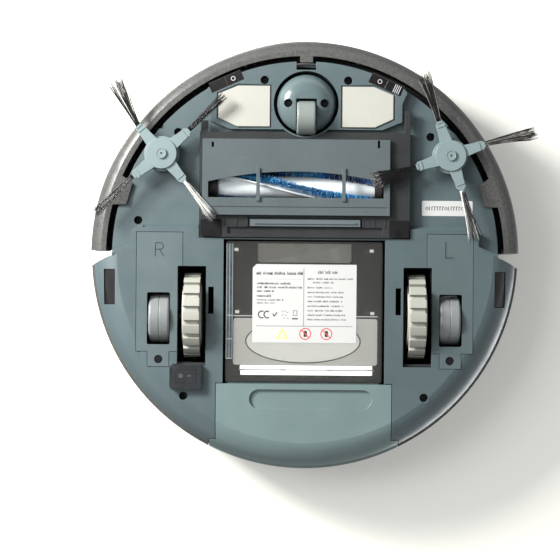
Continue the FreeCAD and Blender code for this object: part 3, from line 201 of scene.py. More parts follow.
MAT = {
    "teal": material("teal_plastic", (71, 85, 88), 0.42, spec=0.75, grain=0.35, edge=0.35, vary=0.05),
    "teal_cover": material("teal_cover_plastic", (77, 90, 92), 0.42, spec=0.75, grain=0.35, edge=0.4, vary=0.05),
    "rear": material("rear_cover_plastic", (99, 117, 116), 0.4, spec=0.75, grain=0.35, edge=0.45, vary=0.05),
    "bumper": material("bumper_paint", (68, 68, 66), 0.36, metal=0.25, coat=0.25, grain=0.3, edge=0.5, fleck=0.45, fleck_scale=1300.0),
    "top": material("top_paint", (78, 76, 71), 0.33, metal=0.3, coat=0.4, grain=0.15, edge=0.5, fleck=0.4, fleck_scale=1300.0),
    "panel": material("panel_gloss", (14, 14, 16), 0.07, coat=1.0, vary=0.1, rough_vary=0.03, edge=0.3),
    "silver": material("button_silver", (196, 197, 198), 0.28, metal=0.75, grain=0.2, grain_scale=2500.0, edge=0.3),
    "board": material("board_green", (30, 92, 58), 0.4, vary=0.3, vary_scale=160.0),
    "battery": material("battery_wrap", (52, 66, 104), 0.35, vary=0.1),
    "motor": material("motor_steel", (176, 178, 182), 0.3, metal=0.9, grain=0.3, streak=0.05),
    # painted reflection: the charge contacts are steel, and their flat cream colour stands in for the bright
    # surroundings they reflect
    "contact_reflection": material("pad_cream", (168, 167, 159), 0.22, coat=0.35, vary=0.03, edge=0.5),
    "smoke": material("window_smoked", (15, 12, 13), 0.22, coat=0.2, vary=0.2, edge=0.3),
    "well": material("well_black", (34, 34, 36), 0.6, vary=0.2, grain=0.3),
    "zinc": material("zinc_steel", (150, 150, 148), 0.32, metal=0.9, vary=0.1, vary_scale=300.0, edge=0.25),
    "switch": material("switch_black", (34, 35, 38), 0.3, edge=0.4, coat=0.2),
    "label": material("label_film", (186, 186, 184), 0.5, vary=0.012, rough_vary=0.03),
    "spring": material("spring_wire", (200, 200, 202), 0.2, metal=1.0, vary=0.05),
    "dome": material("dome_gloss", (84, 98, 100), 0.2, coat=0.8, vary=0.05, edge=0.6, rough_vary=0.03),
    "caster": material("caster_wheel", (118, 124, 121), 0.45, vary=0.08, grain=0.25, edge=0.5),
    "hub": material("brush_hub", (116, 130, 131), 0.36, vary=0.05, grain=0.3, edge=0.5),
    "bristle": material("bristle_black", (30, 29, 30), 0.3, vary=0.3, vary_scale=500.0, spec=0.7),
    # painted highlight: the grey and pale strand colours stand in for glare on the black nylon tufts
    "bristle_glare_grey": material("bristle_glare_grey", (128, 124, 118), 0.3, vary=0.25, vary_scale=500.0, spec=0.7),
    "bristle_glare_white": material("bristle_glare_pale", (226, 226, 222), 0.3, vary=0.1, vary_scale=500.0, spec=0.7),
    "core": material("core_white", (214, 220, 222), 0.4, vary=0.05, grain=0.3),
    "sky": material("bristle_sky", (72, 160, 208), 0.38, vary=0.25, vary_scale=420.0, spec=0.6),
    "royal": material("bristle_royal", (18, 96, 170), 0.38, vary=0.3, vary_scale=420.0, spec=0.6),
    "navy": material("bristle_navy", (20, 34, 84), 0.4, vary=0.3, vary_scale=420.0, spec=0.6),
    "lip": material("lip_white", (232, 234, 234), 0.42, vary=0.05),
    "cap_dark": material("cap_dark", (44, 40, 40), 0.4, vary=0.15, edge=0.4),
    "cap_grey": material("cap_grey", (118, 118, 116), 0.45, vary=0.15, grain=0.4, edge=0.4),
    "guard": material("guard_grey", (80, 88, 90), 0.3, coat=0.3, vary=0.06, grain=0.2, edge=0.45),
    "frame": material("frame_dark", (44, 45, 46), 0.33, coat=0.3, vary=0.12, grain=0.25, edge=0.5),
    "latch": material("latch_grey", (88, 96, 100), 0.32, coat=0.2, vary=0.06, edge=0.4),
    "arm": material("arm_black", (38, 38, 40), 0.5, vary=0.15, edge=0.5),
    "wheel_white": material("wheel_white", (170, 169, 162), 0.45, vary=0.05, edge=0.5),
    "tyre": material("tyre_ivory", (150, 150, 141), 0.6, vary=0.07, grain=0.5, grain_scale=900.0, edge=0.7),
    "roller": material("roller_grey", (118, 121, 122), 0.42, vary=0.1, grain=0.3, edge=0.6),
    "flap": material("flap_grey", (244, 247, 248), 0.3, coat=0.3, vary=0.06, edge=0.5),
    "filter": material("filter_paper", (240, 241, 240), 0.7, vary=0.03, grain=0.6, grain_scale=600.0, streak=0.1),
    "bay": material("bay_black", (34, 33, 33), 0.5, vary=0.3, vary_scale=40.0, grain=0.3),
    "ink": material("ink_grey", (84, 86, 88), 0.6, vary=0.1, rough_vary=0.02),
    "ink_dark": material("ink_dark", (34, 35, 38), 0.6, vary=0.1, rough_vary=0.02),
    "ink_pale": material("ink_pale", (128, 130, 132), 0.6, vary=0.05, rough_vary=0.02),
    "ink_red": material("ink_red", (186, 70, 66), 0.6, vary=0.08, rough_vary=0.02),
    "ink_yellow": material("ink_yellow", (226, 206, 96), 0.6, vary=0.05, rough_vary=0.02),
    "white_mark": material("mark_white", (250, 250, 250), 0.5, vary=0.05, rough_vary=0.02),
    "led": material("led_clear", (206, 206, 210), 0.12, coat=1.0, metal=0.3, vary=0.1),
    "tray": material("tray_pale", (236, 238, 238), 0.4, vary=0.08, grain=0.2, coat=0.2),
    "tray_dim": material("tray_dim", (120, 116, 110), 0.5, vary=0.25, vary_scale=60.0),
    "frost": material("frost_pale", (246, 249, 252), 0.35, vary=0.05, coat=0.3),
    "matt": material("matt_black", (16, 16, 17), 0.75, spec=0.2, vary=0.2),
    "screw": material("screw_dark", (46, 46, 47), 0.35, metal=0.8, vary=0.15, vary_scale=300.0, edge=0.2),
    # painted shade: the dark brown trench colour stands in for the shaded recess and its brownish reflections
    "trench": material("trench_painted_shade", (58, 50, 44), 0.5, vary=0.3, vary_scale=60.0),
    # painted highlight: pale lines standing in for glints on the clear rail edges
    "glint": material("rail_painted_glint", (142, 148, 150), 0.2, coat=0.6, vary=0.1),
    "rail": material("rail_grey", (62, 68, 70), 0.25, coat=0.5, vary=0.25, vary_scale=90.0),
    "seam": material("seam_dark", (30, 32, 33), 0.6, vary=0.1),
    # painted reflection: taupe band standing in for the reflection on the curved edge of the lower shell
    "rim": material("rim_painted_reflection", (150, 146, 136), 0.38, metal=0.2, coat=0.2, vary=0.06, fleck=0.3, fleck_scale=1300.0),
}
# painted light: the tray and the frosted oval glow a little, standing in for light that barely reaches them inside the
# clear bin
for key, painted_glow in (("frost", 0.62), ("tray", 0.36)):
    pb = MAT[key].node_tree.nodes["Principled BSDF"]
    pb.inputs["Emission Color"].default_value = (0.92, 0.97, 1.0, 1)
    pb.inputs["Emission Strength"].default_value = painted_glow
MAT["bin"] = clear_material("bin_clear", (240, 238, 234), body=(190, 190, 188), see=0.955, gloss_rough=0.06)
MAT["boot"] = clear_material("boot_clear", (244, 246, 247), body=(160, 164, 168), see=0.95, gloss_rough=0.1, grain=0.1)
MAT["window_clear"] = clear_material("window_clear", (40, 32, 34), body=(24, 18, 20), see=0.35, gloss_rough=0.05)

LOOK = {
    "chassis": "teal", "top_cover": "top", "control_panel": "panel", "start_button": "silver", "dock_button": "silver",
    "main_board": "board", "battery_pack": "battery", "fan_housing": "well", "fan_motor": "motor", "fan_impeller": "frame",
    "brush_motor": "motor", "side_brush_motors": "motor", "brush_surround": "frame", "brush_guard": "guard",
    "guard_latch": "latch", "brush_core": "core", "brush_bristles": "sky", "brush_end_caps": "cap_dark",
    "charge_contacts": "contact_reflection", "cliff_sensor_windows": "smoke", "caster_dome": "dome", "caster_axle": "zinc",
    "caster_screws": "screw", "caster_wheel": "caster", "side_brush_left": "hub", "side_brush_right": "hub",
    "side_bristles_left": "bristle", "side_bristles_right": "bristle", "wheel_wells": "well", "roller_pins": "zinc",
    "bin_bay": "bay", "bin_body": "bin", "bin_flap": "flap", "bin_filter": "filter", "bin_rear_cover": "rear",
    "rating_label": "label", "serial_label": "label", "switch_bezel": "switch", "power_rocker": "switch",
    "switch_boot": "boot", "bumper_shell": "bumper", "bumper_window": "window_clear", "bumper_springs": "spring",
    "bumper_switches": "switch", "charge_jack": "switch", "chassis_screws": "screw",
}
for s in ("left", "right"):
    LOOK.update({"module_cover_" + s: "teal_cover", "roller_" + s: "roller", "drive_arm_" + s: "arm",
                 "wheel_motor_" + s: "motor", "wheel_hub_" + s: "wheel_white", "wheel_tyre_" + s: "tyre",
                 "suspension_spring_" + s: "spring"})
for n, o in NODE.items():
    o.data.materials.clear()
    o.data.materials.append(MAT[LOOK[n]])


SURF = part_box("brush_surround")[0][2] * 1000.0


# ------------------------------------------------------------------ mesh helpers
def make(name, verts, faces, mats, body, index=None, smooth=False):
    me = bpy.data.meshes.new(name)
    me.from_pydata([tuple(v) for v in verts], [], faces)
    for m in (mats if isinstance(mats, list) else [mats]):
        me.materials.append(MAT[m])
    if index is not None:
        me.polygons.foreach_set("material_index", index)
    if smooth:
        me.polygons.foreach_set("use_smooth", [True] * len(me.polygons))
    me.update()
    o = bpy.data.objects.new(name, me)
    bpy.context.scene.collection.objects.link(o)
    if body:
        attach(o, body)
    return o


class Build:
    """Collects many small closed solids into one piece."""

    def __init__(self):
        self.v, self.f, self.m = [], [], []

    def add(self, verts, faces, mi=0):
        k = len(self.v)
        self.v += [tuple(x) for x in verts]
        self.f += [tuple(i + k for i in t) for t in faces]
        self.m += [mi] * len(faces)

    def prism(self, pts, z0, z1, mi=0):
        """Closed prism over a polygon (mm), from z0 to z1."""
        area = sum(pts[i][0] * pts[(i + 1) % len(pts)][1] - pts[(i + 1) % len(pts)][0] * pts[i][1] for i in range(len(pts)))
        if area < 0:
            pts = pts[::-1]
        n = len(pts)
        lo, hi = min(z0, z1), max(z0, z1)
        v = [(x * MM, y * MM, lo * MM) for x, y in pts] + [(x * MM, y * MM, hi * MM) for x, y in pts]
        f = [tuple(reversed(range(n))), tuple(range(n, 2 * n))]
        f += [(i, (i + 1) % n, n + (i + 1) % n, n + i) for i in range(n)]
        self.add(v, f, mi)

    def box(self, x0, y0, x1, y1, z0, z1, mi=0):
        self.prism([(x0, y0), (x1, y0), (x1, y1), (x0, y1)], z0, z1, mi)

    def rbox(self, x0, y0, x1, y1, r, z0, z1, mi=0, seg=5):
        self.prism(rounded(x0, y0, x1, y1, r, seg), z0, z1, mi)

    def disc(self, x, y, r, z0, z1, mi=0, seg=32):
        self.prism([(x + r * math.cos(2 * math.pi * i / seg), y + r * math.sin(2 * math.pi * i / seg)) for i in range(seg)], z0, z1, mi)

    def ring(self, x, y, r0, r1, z0, z1, mi=0, seg=40, a0=0.0, a1=360.0):
        full = abs(a1 - a0) >= 359.9
        n = seg if full else seg + 1
        v = []
        for i in range(n):
            a = math.radians(a0 + (a1 - a0) * i / seg)
            c, s = math.cos(a), math.sin(a)
            for r, z in ((r0, z0), (r1, z0), (r1, z1), (r0, z1)):
                v.append(((x + r * c) * MM, (y + r * s) * MM, z * MM))
        f = []
        for i in range(seg):
            j = (i + 1) % n
            for k in range(4):
                f.append((i * 4 + k, j * 4 + k, j * 4 + (k + 1) % 4, i * 4 + (k + 1) % 4))
        if not full:
            f.append((0, 1, 2, 3))
            e = (n - 1) * 4
            f.append((e + 3, e + 2, e + 1, e))
        self.add(v, f, mi)

    def line(self, p, q, w, z0, z1, mi=0):
        """Flat bar between two points (mm)."""
        d = Vector((q[0] - p[0], q[1] - p[1]))
        n = Vector((-d.y, d.x)).normalized() * (w / 2)
        self.prism([(p[0] + n.x, p[1] + n.y), (q[0] + n.x, q[1] + n.y), (q[0] - n.x, q[1] - n.y), (p[0] - n.x, p[1] - n.y)], z0, z1, mi)

    def tube(self, pts, radii, sides=3, mi=0):
        """Thin strand through points (metres)."""
        k = len(self.v)
        n = len(pts)
        for i, p in enumerate(pts):
            t = (pts[min(i + 1, n - 1)] - pts[max(i - 1, 0)]).normalized()
            u = t.cross(Vector((0, 0, 1)))
            if u.length < 1e-4:
                u = t.cross(Vector((0, 1, 0)))
            u.normalize()
            w = t.cross(u)
            for s in range(sides):
                a = 2 * math.pi * s / sides
                self.v.append(tuple(p + (u * math.cos(a) + w * math.sin(a)) * radii[i]))
        for i in range(n - 1):
            for s in range(sides):
                a, b = k + i * sides + s, k + i * sides + (s + 1) % sides
                self.f.append((a, b, b + sides, a + sides))
                self.m.append(mi)
        self.f.append(tuple(k + s for s in reversed(range(sides))))
        self.m.append(mi)
        self.f.append(tuple(k + (n - 1) * sides + s for s in range(sides)))
        self.m.append(mi)

    def done(self, name, mats, body, smooth=False, slot=None, fix=True):
        o = make(name, self.v, self.f, mats, body, self.m, smooth)
        if fix:
            bm = bmesh.new()
            bm.from_mesh(o.data)
            bmesh.ops.recalc_face_normals(bm, faces=bm.faces)
            bm.to_mesh(o.data)
            bm.free()
        return o


def rounded(x0, y0, x1, y1, r, seg=5):
    out = []
    for cx, cy, a0 in ((x1 - r, y1 - r, 0), (x0 + r, y1 - r, 90), (x0 + r, y0 + r, 180), (x1 - r, y0 + r, 270)):
        for i in range(seg + 1):
            a = math.radians(a0 + 90.0 * i / seg)
            out.append((cx + r * math.cos(a), cy + r * math.sin(a)))
    return out


def mirror(pts):
    return [(-x, y) for x, y in pts]


# ------------------------------------------------------------------ side brush tufts
def tuft(bd, root, tip, spread, count, z_root=8.6, z_tip=5.7, bend=0.0, shares=(1.0, 0.0, 0.0), splay_tip=1.0, seed=0):
    """One bundle of nylon strands from an arm end to the tip area (mm)."""
    r = random.Random(seed)
    ro, ti = Vector((root[0], root[1], 0)), Vector((tip[0], tip[1], 0))
    d = ti - ro
    length = d.length
    u = d.normalized()
    w = Vector((-u.y, u.x, 0))
    for i in range(count):
        a = r.uniform(-1, 1)
        a = a * abs(a) ** 0.35
        side = a * spread / 2 * splay_tip
        s0 = a * 1.5 + r.uniform(-0.5, 0.5)
        reach = length * r.uniform(0.86, 1.02)
        wob = r.uniform(-1.2, 1.2)
        h = r.uniform(-0.9, 0.9)
        pts, rad = [], []
        for k in range(8):
            t = k / 7.0
            x = reach * t - 2.0 * (1 - t)
            y = s0 * (1 - t) + side * t ** 1.35 + bend * t * t + wob * t * (1 - t) * 1.6
            z = (z_root + h * 0.9) * (1 - t) ** 1.2 + (z_tip + h * 0.6) * (1 - (1 - t) ** 1.2)
            q = ro + u * x + w * y
            pts.append(Vector((q.x * MM, q.y * MM, z * MM)))
            rad.append((0.24 - 0.09 * t) * MM)
        pick = r.random()
        mi = 0 if pick < shares[0] else (1 if pick < shares[0] + shares[1] else 2)
        bd.tube(pts, rad, 3, mi)


# shares give the split of black, grey and pale strands; the grey and pale strands are painted glare on the black nylon
TUFTS = {
    "left": (-113.3, -78.6, [
        ((-131.4, -99.8), (-151.5, -136.0), 15.0, 80, 2.0, (0.9, 0.1, 0.0)),
        ((-92.0, -97.2), (-64.0, -124.0), 7.0, 60, 0.0, (0.95, 0.05, 0.0)),
        ((-134.8, -61.2), (-164.5, -31.0), 7.0, 70, 0.0, (0.9, 0.1, 0.0)),
        ((-95.6, -57.8), (-71.5, -27.0), 8.0, 64, 0.0, (0.3, 0.25, 0.45)),
    ]),
    "right": (113.3, -78.6, [
        ((104.2, -104.4), (93.5, -143.6), 11.0, 76, -2.0, (0.85, 0.15, 0.0)),
        ((139.2, -88.0), (180.0, -98.0), 10.0, 76, 1.0, (0.85, 0.15, 0.0)),
        ((87.4, -69.9), (51.5, -57.0), 15.0, 96, 1.0, (0.93, 0.07, 0.0)),
        ((122.2, -52.6), (133.5, -11.5), 12.0, 66, 0.0, (0.45, 0.25, 0.3)),
    ]),
}
for side, (hx, hy, rows) in TUFTS.items():
    bd = Build()
    for i, (root, tip, spread, count, bend, shares) in enumerate(rows):
        tuft(bd, root, tip, spread, count, bend=bend, shares=shares, seed=40 + i + (9 if side == "right" else 0))
    o = bd.done("side_tufts_" + side, ["bristle", "bristle_glare_grey", "bristle_glare_white"], "side_brush_%s_body" % side, smooth=True,
                slot="bristle_black", fix=False)
    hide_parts("side_bristles_" + side)
    # hub details: crimped ferrules on the arm ends, centre screw and hub rings
    hd = Build()
    base = 50.0 if side == "left" else 71.0
    for k in range(4):
        a = math.radians(base + 90 * k)
        c, s = math.cos(a), math.sin(a)

        def at(r0, r1, w0, w1, z0, z1, mi):
            p = [(hx + c * r0 - s * w0, hy + s * r0 + c * w0), (hx + c * r1 - s * w1, hy + s * r1 + c * w1),
                 (hx + c * r1 + s * w1, hy + s * r1 - c * w1), (hx + c * r0 + s * w0, hy + s * r0 - c * w0)]
            hd.prism(p, z0, z1, mi)
        at(23.4, 24.3, 3.1, 3.1, 7.2, 7.7, 0)
        at(26.6, 28.4, 2.5, 2.2, 7.3, 11.0, 0)
    hd.ring(hx, hy, 3.3, 4.1, 5.05, 5.6, 0, seg=36)
    hd.disc(hx, hy, 3.3, 5.3, 5.6, 0, seg=32)
    hd.disc(hx, hy, 0.8, 5.2, 5.5, 2, seg=20)
    hd.done("side_hub_detail_" + side, ["hub", "zinc", "seam"], "side_brush_%s_body" % side, slot="hub_grey")

# ------------------------------------------------------------------ main brush
AY, AZ = -53.7, 25.8


def around(x, phi, r):
    """Point on the main brush: phi 0 points down, positive towards the front."""
    a = math.radians(phi)
    return Vector((x * MM, (AY - r * math.sin(a)) * MM, (AZ - r * math.cos(a)) * MM))


rows = Build()
for k, off in enumerate((0.0, 100.0, 230.0)):
    x = -67.5
    while x < 53.2:
        for j in range(5):
            phi = -9.4 - 1.18 * x + off + rnd.uniform(-13.0, 13.0) * (1.7 if k == 1 else 1.0)
            xx = x + rnd.uniform(-0.5, 0.5)
            lean = rnd.uniform(-1.2, 1.2)
            tip = rnd.uniform(14.0, 15.3)
            tw = rnd.uniform(-3.0, 3.0)
            pts = [around(xx, phi, 8.2), around(xx + lean * 0.4, phi + tw * 0.5, 11.6), around(xx + lean, phi + tw, tip)]
            wave = 0.5 + 0.5 * math.sin(xx / 11.0 + k * 1.9) + rnd.uniform(-0.3, 0.3)
            mi = 0 if wave > 0.62 else (1 if wave > 0.28 else 2)
            if k == 0:
                mi = 0 if rnd.random() < (0.78 if xx < 5 else 0.5) else 1
            rows.tube(pts, [0.30 * MM, 0.27 * MM, 0.2 * MM], 3, mi)
        x += 0.5
o = rows.done("brush_rows", ["sky", "royal", "navy"], "main_brush_body", smooth=True, slot="bristle_blue", fix=False)
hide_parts("brush_bristles")
lips = Build()
for k, off in enumerate((-24.0, 96.0, 216.0)):
    prev = None
    n = 60
    base = len(lips.v)
    for i in range(n + 1):
        x = -67.5 + 120.5 * i / n
        phi = -9.4 - 1.18 * x + off
        for r, dp in ((8.1, -3.6), (8.1, 3.6), (12.9, 1.6), (12.9, -1.6)):
            lips.v.append(tuple(around(x, phi + dp, r)))
    for i in range(n):
        a = base + i * 4
        for j in range(4):
            lips.f.append((a + j, a + (j + 1) % 4, a + 4 + (j + 1) % 4, a + 4 + j))
            lips.m.append(0)
    lips.f += [(base, base + 1, base + 2, base + 3), (base + n * 4 + 3, base + n * 4 + 2, base + n * 4 + 1, base + n * 4)]
    lips.m += [0, 0]
lips.done("brush_lips", ["lip"], "main_brush_body", slot="core_white")

# ------------------------------------------------------------------ labels (plain marks only)
lab = Build()
ZL = 14.78


def words(bd, x0, x1, y, h, mi, seed, z=ZL, gap=1.3):
    """Row of short plain ticks that reads as a printed line from afar."""
    r = random.Random(seed)
    x = x0
    while x < x1:
        end = min(x1, x + r.uniform(3.0, 8.5))
        while x < end - 0.3:
            w = r.choice((0.38, 0.42, 0.5, 0.62))
            tall = h * r.choice((0.74, 0.74, 0.82, 1.0))
            bd.box(x, y + h / 2 - tall, x + w, y + h / 2, z, z + 0.03, mi)
            if r.random() < 0.6:
                bd.box(x, y + h / 2 - (0.22 if r.random() < 0.5 else tall * 0.6), x + w + 0.34, y + h / 2 - (0.0 if r.random() < 0.5 else tall * 0.4), z, z + 0.03, mi)
            x += w + r.uniform(0.3, 0.5)
        x = end + gap


words(lab, -38.0, -1.4, 14.4, 2.5, 1, 1, gap=1.6)
for i in range(26):
    lab.box(-37.5 + i * 1.35, 19.0, -36.9 + i * 1.35, 19.25, ZL, ZL + 0.03, 0)
for y, x1, h, mi, sd in ((22.5, -9.5, 1.7, 1, 2), (25.5, -2.5, 1.7, 1, 3), (28.4, -24.5, 1.7, 1, 4), (32.2, -27.0, 1.9, 1, 5),
                         (35.4, -17.0, 1.3, 0, 6), (37.8, -24.0, 1.2, 0, 7)):
    words(lab, -37.5, x1, y, h, mi, sd, gap=1.1)
words(lab, 10.2, 26.0, 13.4, 2.5, 0, 8, gap=1.6)
for y, x0, x1, sd in ((18.6, 2.3, 38.0, 9), (21.5, 6.6, 23.0, 10), (25.5, 2.3, 21.0, 11), (29.2, 2.3, 31.0, 12), (32.7, 2.3, 30.0, 13),
                      (36.3, 2.3, 29.0, 14), (40.0, 2.3, 30.5, 15), (43.6, 2.3, 29.5, 16), (47.1, 2.3, 32.0, 17), (50.6, 2.3, 33.5, 18)):
    words(lab, x0, x1, y, 1.4, 0, sd, gap=1.0)
lab.box(-1.05, 10.5, -0.4, 56.0, ZL, ZL + 0.03, 2)
lab.box(-38.0, 55.7, 37.8, 56.3, ZL, ZL + 0.03, 2)
lab.ring(-33.6, 47.0, 2.2, 3.1, ZL, ZL + 0.03, 1, seg=30, a0=60, a1=300)
lab.ring(-29.2, 47.0, 2.2, 3.1, ZL, ZL + 0.03, 1, seg=30, a0=60, a1=300)
lab.line((-25.0, 46.4), (-23.6, 48.4), 0.8, ZL, ZL + 0.03, 1)
lab.line((-23.8, 48.4), (-21.6, 45.2), 0.8, ZL, ZL + 0.03, 1)
for i, (x, y) in enumerate([(-17.5, 44.6), (-15.4, 44.2), (-13.4, 45.2), (-17.2, 47.2), (-14.6, 47.6), (-16.0, 49.6), (-13.2, 49.8)]):
    lab.box(x - 0.6, y - 0.4, x + 0.6, y + 0.4, ZL, ZL + 0.03, 2)
lab.rbox(-9.2, 43.4, -5.6, 48.0, 0.6, ZL, ZL + 0.03, 2)
lab.rbox(-8.5, 44.1, -6.3, 47.3, 0.4, ZL - 0.02, ZL + 0.01, 3)
lab.box(-9.8, 49.7, -5.2, 50.7, ZL, ZL + 0.03, 1)
lab.prism([(-22.0, 66.0), (-17.4, 57.6), (-12.8, 66.0)], ZL, ZL + 0.03, 4)
lab.prism([(-20.2, 65.1), (-17.4, 60.0), (-14.6, 65.1)], ZL - 0.02, ZL + 0.01, 5)
for x in (0.7, 17.3):
    lab.ring(x, 62.0, 3.9, 4.7, ZL, ZL + 0.03, 6, seg=40)
    lab.rbox(x - 1.3, 59.6, x + 1.3, 64.4, 0.8, ZL, ZL + 0.03, 1)
    lab.line((x - 3.0, 59.0), (x + 3.0, 65.0), 0.75, ZL - 0.02, ZL + 0.01, 6)
lab.done("rating_print", ["ink", "ink_dark", "ink_pale", "label", "ink_yellow", "label", "ink_red"], "bin", slot="label_white")
ser = Build()
sl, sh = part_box("serial_label")
r = random.Random(5)
x = 95.0
while x < 129.5:
    w = r.choice((0.5, 0.6, 1.5))
    if r.random() < 0.5:
        ser.ring(x + 0.9, -37.7, 0.75, 1.2, 19.76, 19.8, 0, seg=14)
        x += 2.5
    else:
        ser.box(x, -39.3, x + 0.55, -36.1, 19.76, 19.8, 0)
        if r.random() < 0.6:
            ser.box(x, -39.3, x + 1.5, -38.8, 19.76, 19.8, 0)
        x += 2.1
ser.done("serial_print", ["ink_dark"], "chassis_body", slot="label_white")

# ------------------------------------------------------------------ chassis marks and details
ch = Build()
# generic side letters, sunk marks
for pts in ([((-117.6, -8.6), (-117.6, 2.0)), ((-117.6, -8.6), (-113.0, -8.6)), ((-113.0, -8.6), (-111.4, -7.0)), ((-111.4, -7.0), (-111.4, -5.0)),
             ((-111.4, -5.0), (-113.0, -3.6)), ((-113.0, -3.6), (-117.6, -3.6)), ((-114.4, -3.6), (-110.8, 2.0))],):
    for p, q in pts:
        ch.line(p, q, 0.7, 13.86, 13.95, 0)
for p, q in (((110.6, -11.4), (110.6, 1.4)), ((110.6, 1.4), (116.8, 1.4))):
    ch.line(p, q, 0.7, 13.86, 13.95, 0)
ch.done("side_letters", ["seam"], "chassis_body", slot="cover_teal")

# dark matt sheet in the bumper gap: painted shade standing in for the shadow deep in the gap
dk = Build()
dk.ring(0.0, 0.0, 152.35, 156.3, 29.0, 30.2, 0, seg=180, a0=181, a1=359)
dk.done("bumper_gap_painted_shade", ["matt"], "chassis_body", slot="window_black")

# brush frame: corner blocks, trench floor, ribs
bf = Build()
# the dark brown trench floor is painted shade of the recess
bf.box(-60.5, -21.2, 60.0, -16.8, 15.4, 15.9, 0)
for x0, x1 in ((-82.4, -66.0), (66.0, 81.4)):
    bf.rbox(x0, -27.6, x1, -14.2, 1.4, SURF - 0.5, SURF + 0.4, 1)
for x, y in ((-74.0, -18.0), (72.8, -17.4)):
    bf.disc(x, y, 2.9, SURF - 0.56, SURF - 0.3, 2, seg=28)
    bf.box(x - 1.7, y - 0.35, x + 1.7, y + 0.35, SURF - 0.6, SURF - 0.4, 1)
    bf.box(x - 0.35, y - 1.7, x + 0.35, y + 1.7, SURF - 0.6, SURF - 0.4, 1)
for x in (-64.0, -54.2, -45.6, 45.3, 54.0, 62.6):
    bf.box(x - 0.6, -29.0, x + 0.6, -22.4, SURF - 0.3, SURF + 0.4, 3)
bf.done("brush_frame_detail", ["trench", "matt", "screw", "frame"], "chassis_body", slot="shell_dark")

# ------------------------------------------------------------------ sensor windows
sen = Build()


def turned(cx, cy, deg, pts):
    c, s = math.cos(math.radians(deg)), math.sin(math.radians(deg))
    return [(cx + x * c - y * s, cy + x * s + y * c) for x, y in pts]


for cx, cy, a in ((-63.0, -136.0, -24.0), (63.0, -134.5, 24.0)):
    sgn = -1 if cx < 0 else 1
    c = turned(cx, cy, a, [(-5.8 * sgn, 0.0)])[0]
    sen.ring(c[0], c[1], 1.3, 1.8, 14.35, 14.7, 0, seg=24)
    sen.disc(c[0], c[1], 1.3, 14.45, 14.7, 1, seg=24)
    sen.prism(turned(cx, cy, a, [(-0.35, -3.6), (0.35, -3.6), (0.35, 3.6), (-0.35, 3.6)]), 14.3, 14.7, 2)
    sen.prism(turned(cx, cy, a, [(-13.6, -4.2), (13.6, -4.2), (13.6, -3.7), (-13.6, -3.7)]), 14.2, 14.7, 2)
    sen.prism(turned(cx, cy, a, [(-13.6, 3.7), (13.6, 3.7), (13.6, 4.2), (-13.6, 4.2)]), 14.2, 14.7, 2)
    for i in range(4 if sgn > 0 else 0):
        x = 6.4 + i * 1.5
        sen.prism(turned(cx, cy, a, [(x, -3.3), (x + 0.6, -3.3), (x + 0.6, 3.3), (x, 3.3)]), 14.35, 14.7, 0)
sen.done("front_window_parts", ["led", "smoke", "frame"], "chassis_body", slot="window_black")

# ------------------------------------------------------------------ switch marks
sw = Build()
sw.ring(-96.8, 95.7, 0.9, 1.45, 11.75, 12.0, 0, seg=22)
sw.line((-91.6, 95.7), (-88.9, 95.7), 0.55, 12.6, 12.85, 0)
sw.done("switch_marks", ["white_mark"], "rocker_body", slot="switch_black")

# ------------------------------------------------------------------ bin inner parts seen through the clear wall
inn = Build()
inn.rbox(-56.0, 50.0, 57.5, 86.8, 2.0, 18.4, 19.6, 0)
inn.prism([(-1.0 + 44.5 * math.cos(2 * math.pi * i / 72), 68.0 + 16.5 * math.sin(2 * math.pi * i / 72)) for i in range(72)], 17.6, 18.6, 1)
inn.prism([(-1.0 + 45.6 * math.cos(2 * math.pi * i / 72), 68.0 + 17.5 * math.sin(2 * math.pi * i / 72)) for i in range(72)], 18.0, 18.7, 2)
inn.box(-56.0, 47.8, 57.5, 48.5, 15.9, 19.6, 0)
for x, y in ((-54.0, -4.0), (52.5, -3.6), (-53.0, 45.0), (53.4, 45.6)):
    inn.rbox(x - 1.6, y - 1.2, x + 1.6, y + 1.2, 0.5, 16.8, 18.0, 1)
inn.done("bin_tray", ["tray", "frost", "tray_dim"], "bin", slot="bin_clear")
# moulded rail along the bin's left edge
BX, BY, BZ = [c * 1000.0 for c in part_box("bin_body")[0]]
RX = max(BX + 0.4, -62.6)
rl = Build()
rl.box(RX, -8.6, RX + 5.0, 82.0, BZ - 0.1, BZ + 0.3, 0)
# the pale lines along and across the rail are painted highlights, glints on the clear plastic
for x in (RX, RX + 2.3, RX + 4.65):
    rl.box(x, -8.6, x + 0.35, 82.0, BZ - 0.16, BZ + 0.2, 1)
for y in (47.5, 66.0, 81.4):
    rl.box(RX, y, RX + 5.0, y + 0.6, BZ - 0.15, BZ + 0.2, 1)
rl.done("bin_rail", ["rail", "glint"], "bin", slot="bin_clear")
print("bin_body low corner", round(BX, 2), round(BY, 2), round(BZ, 2))
fil = Build()
for y0, y1 in ((87.0, 90.1), (90.9, 94.5)):
    fil.rbox(-50.0 if y1 > 92 else -50.5, y0, 53.5, y1, 0.6, 14.8, 15.3, 0)
fil.box(-50.0, 90.1, 53.5, 90.9, 14.95, 15.2, 1)
for x0, x1 in ((-51.5, -47.0), (-19.0, -15.0), (18.0, 22.0), (49.5, 55.0)):
    fil.box(x0, 89.9, x1, 91.0, 14.72, 15.1, 1)
fil.done("filter_frame", ["filter", "tray_dim"], "bin", slot="filter_white")

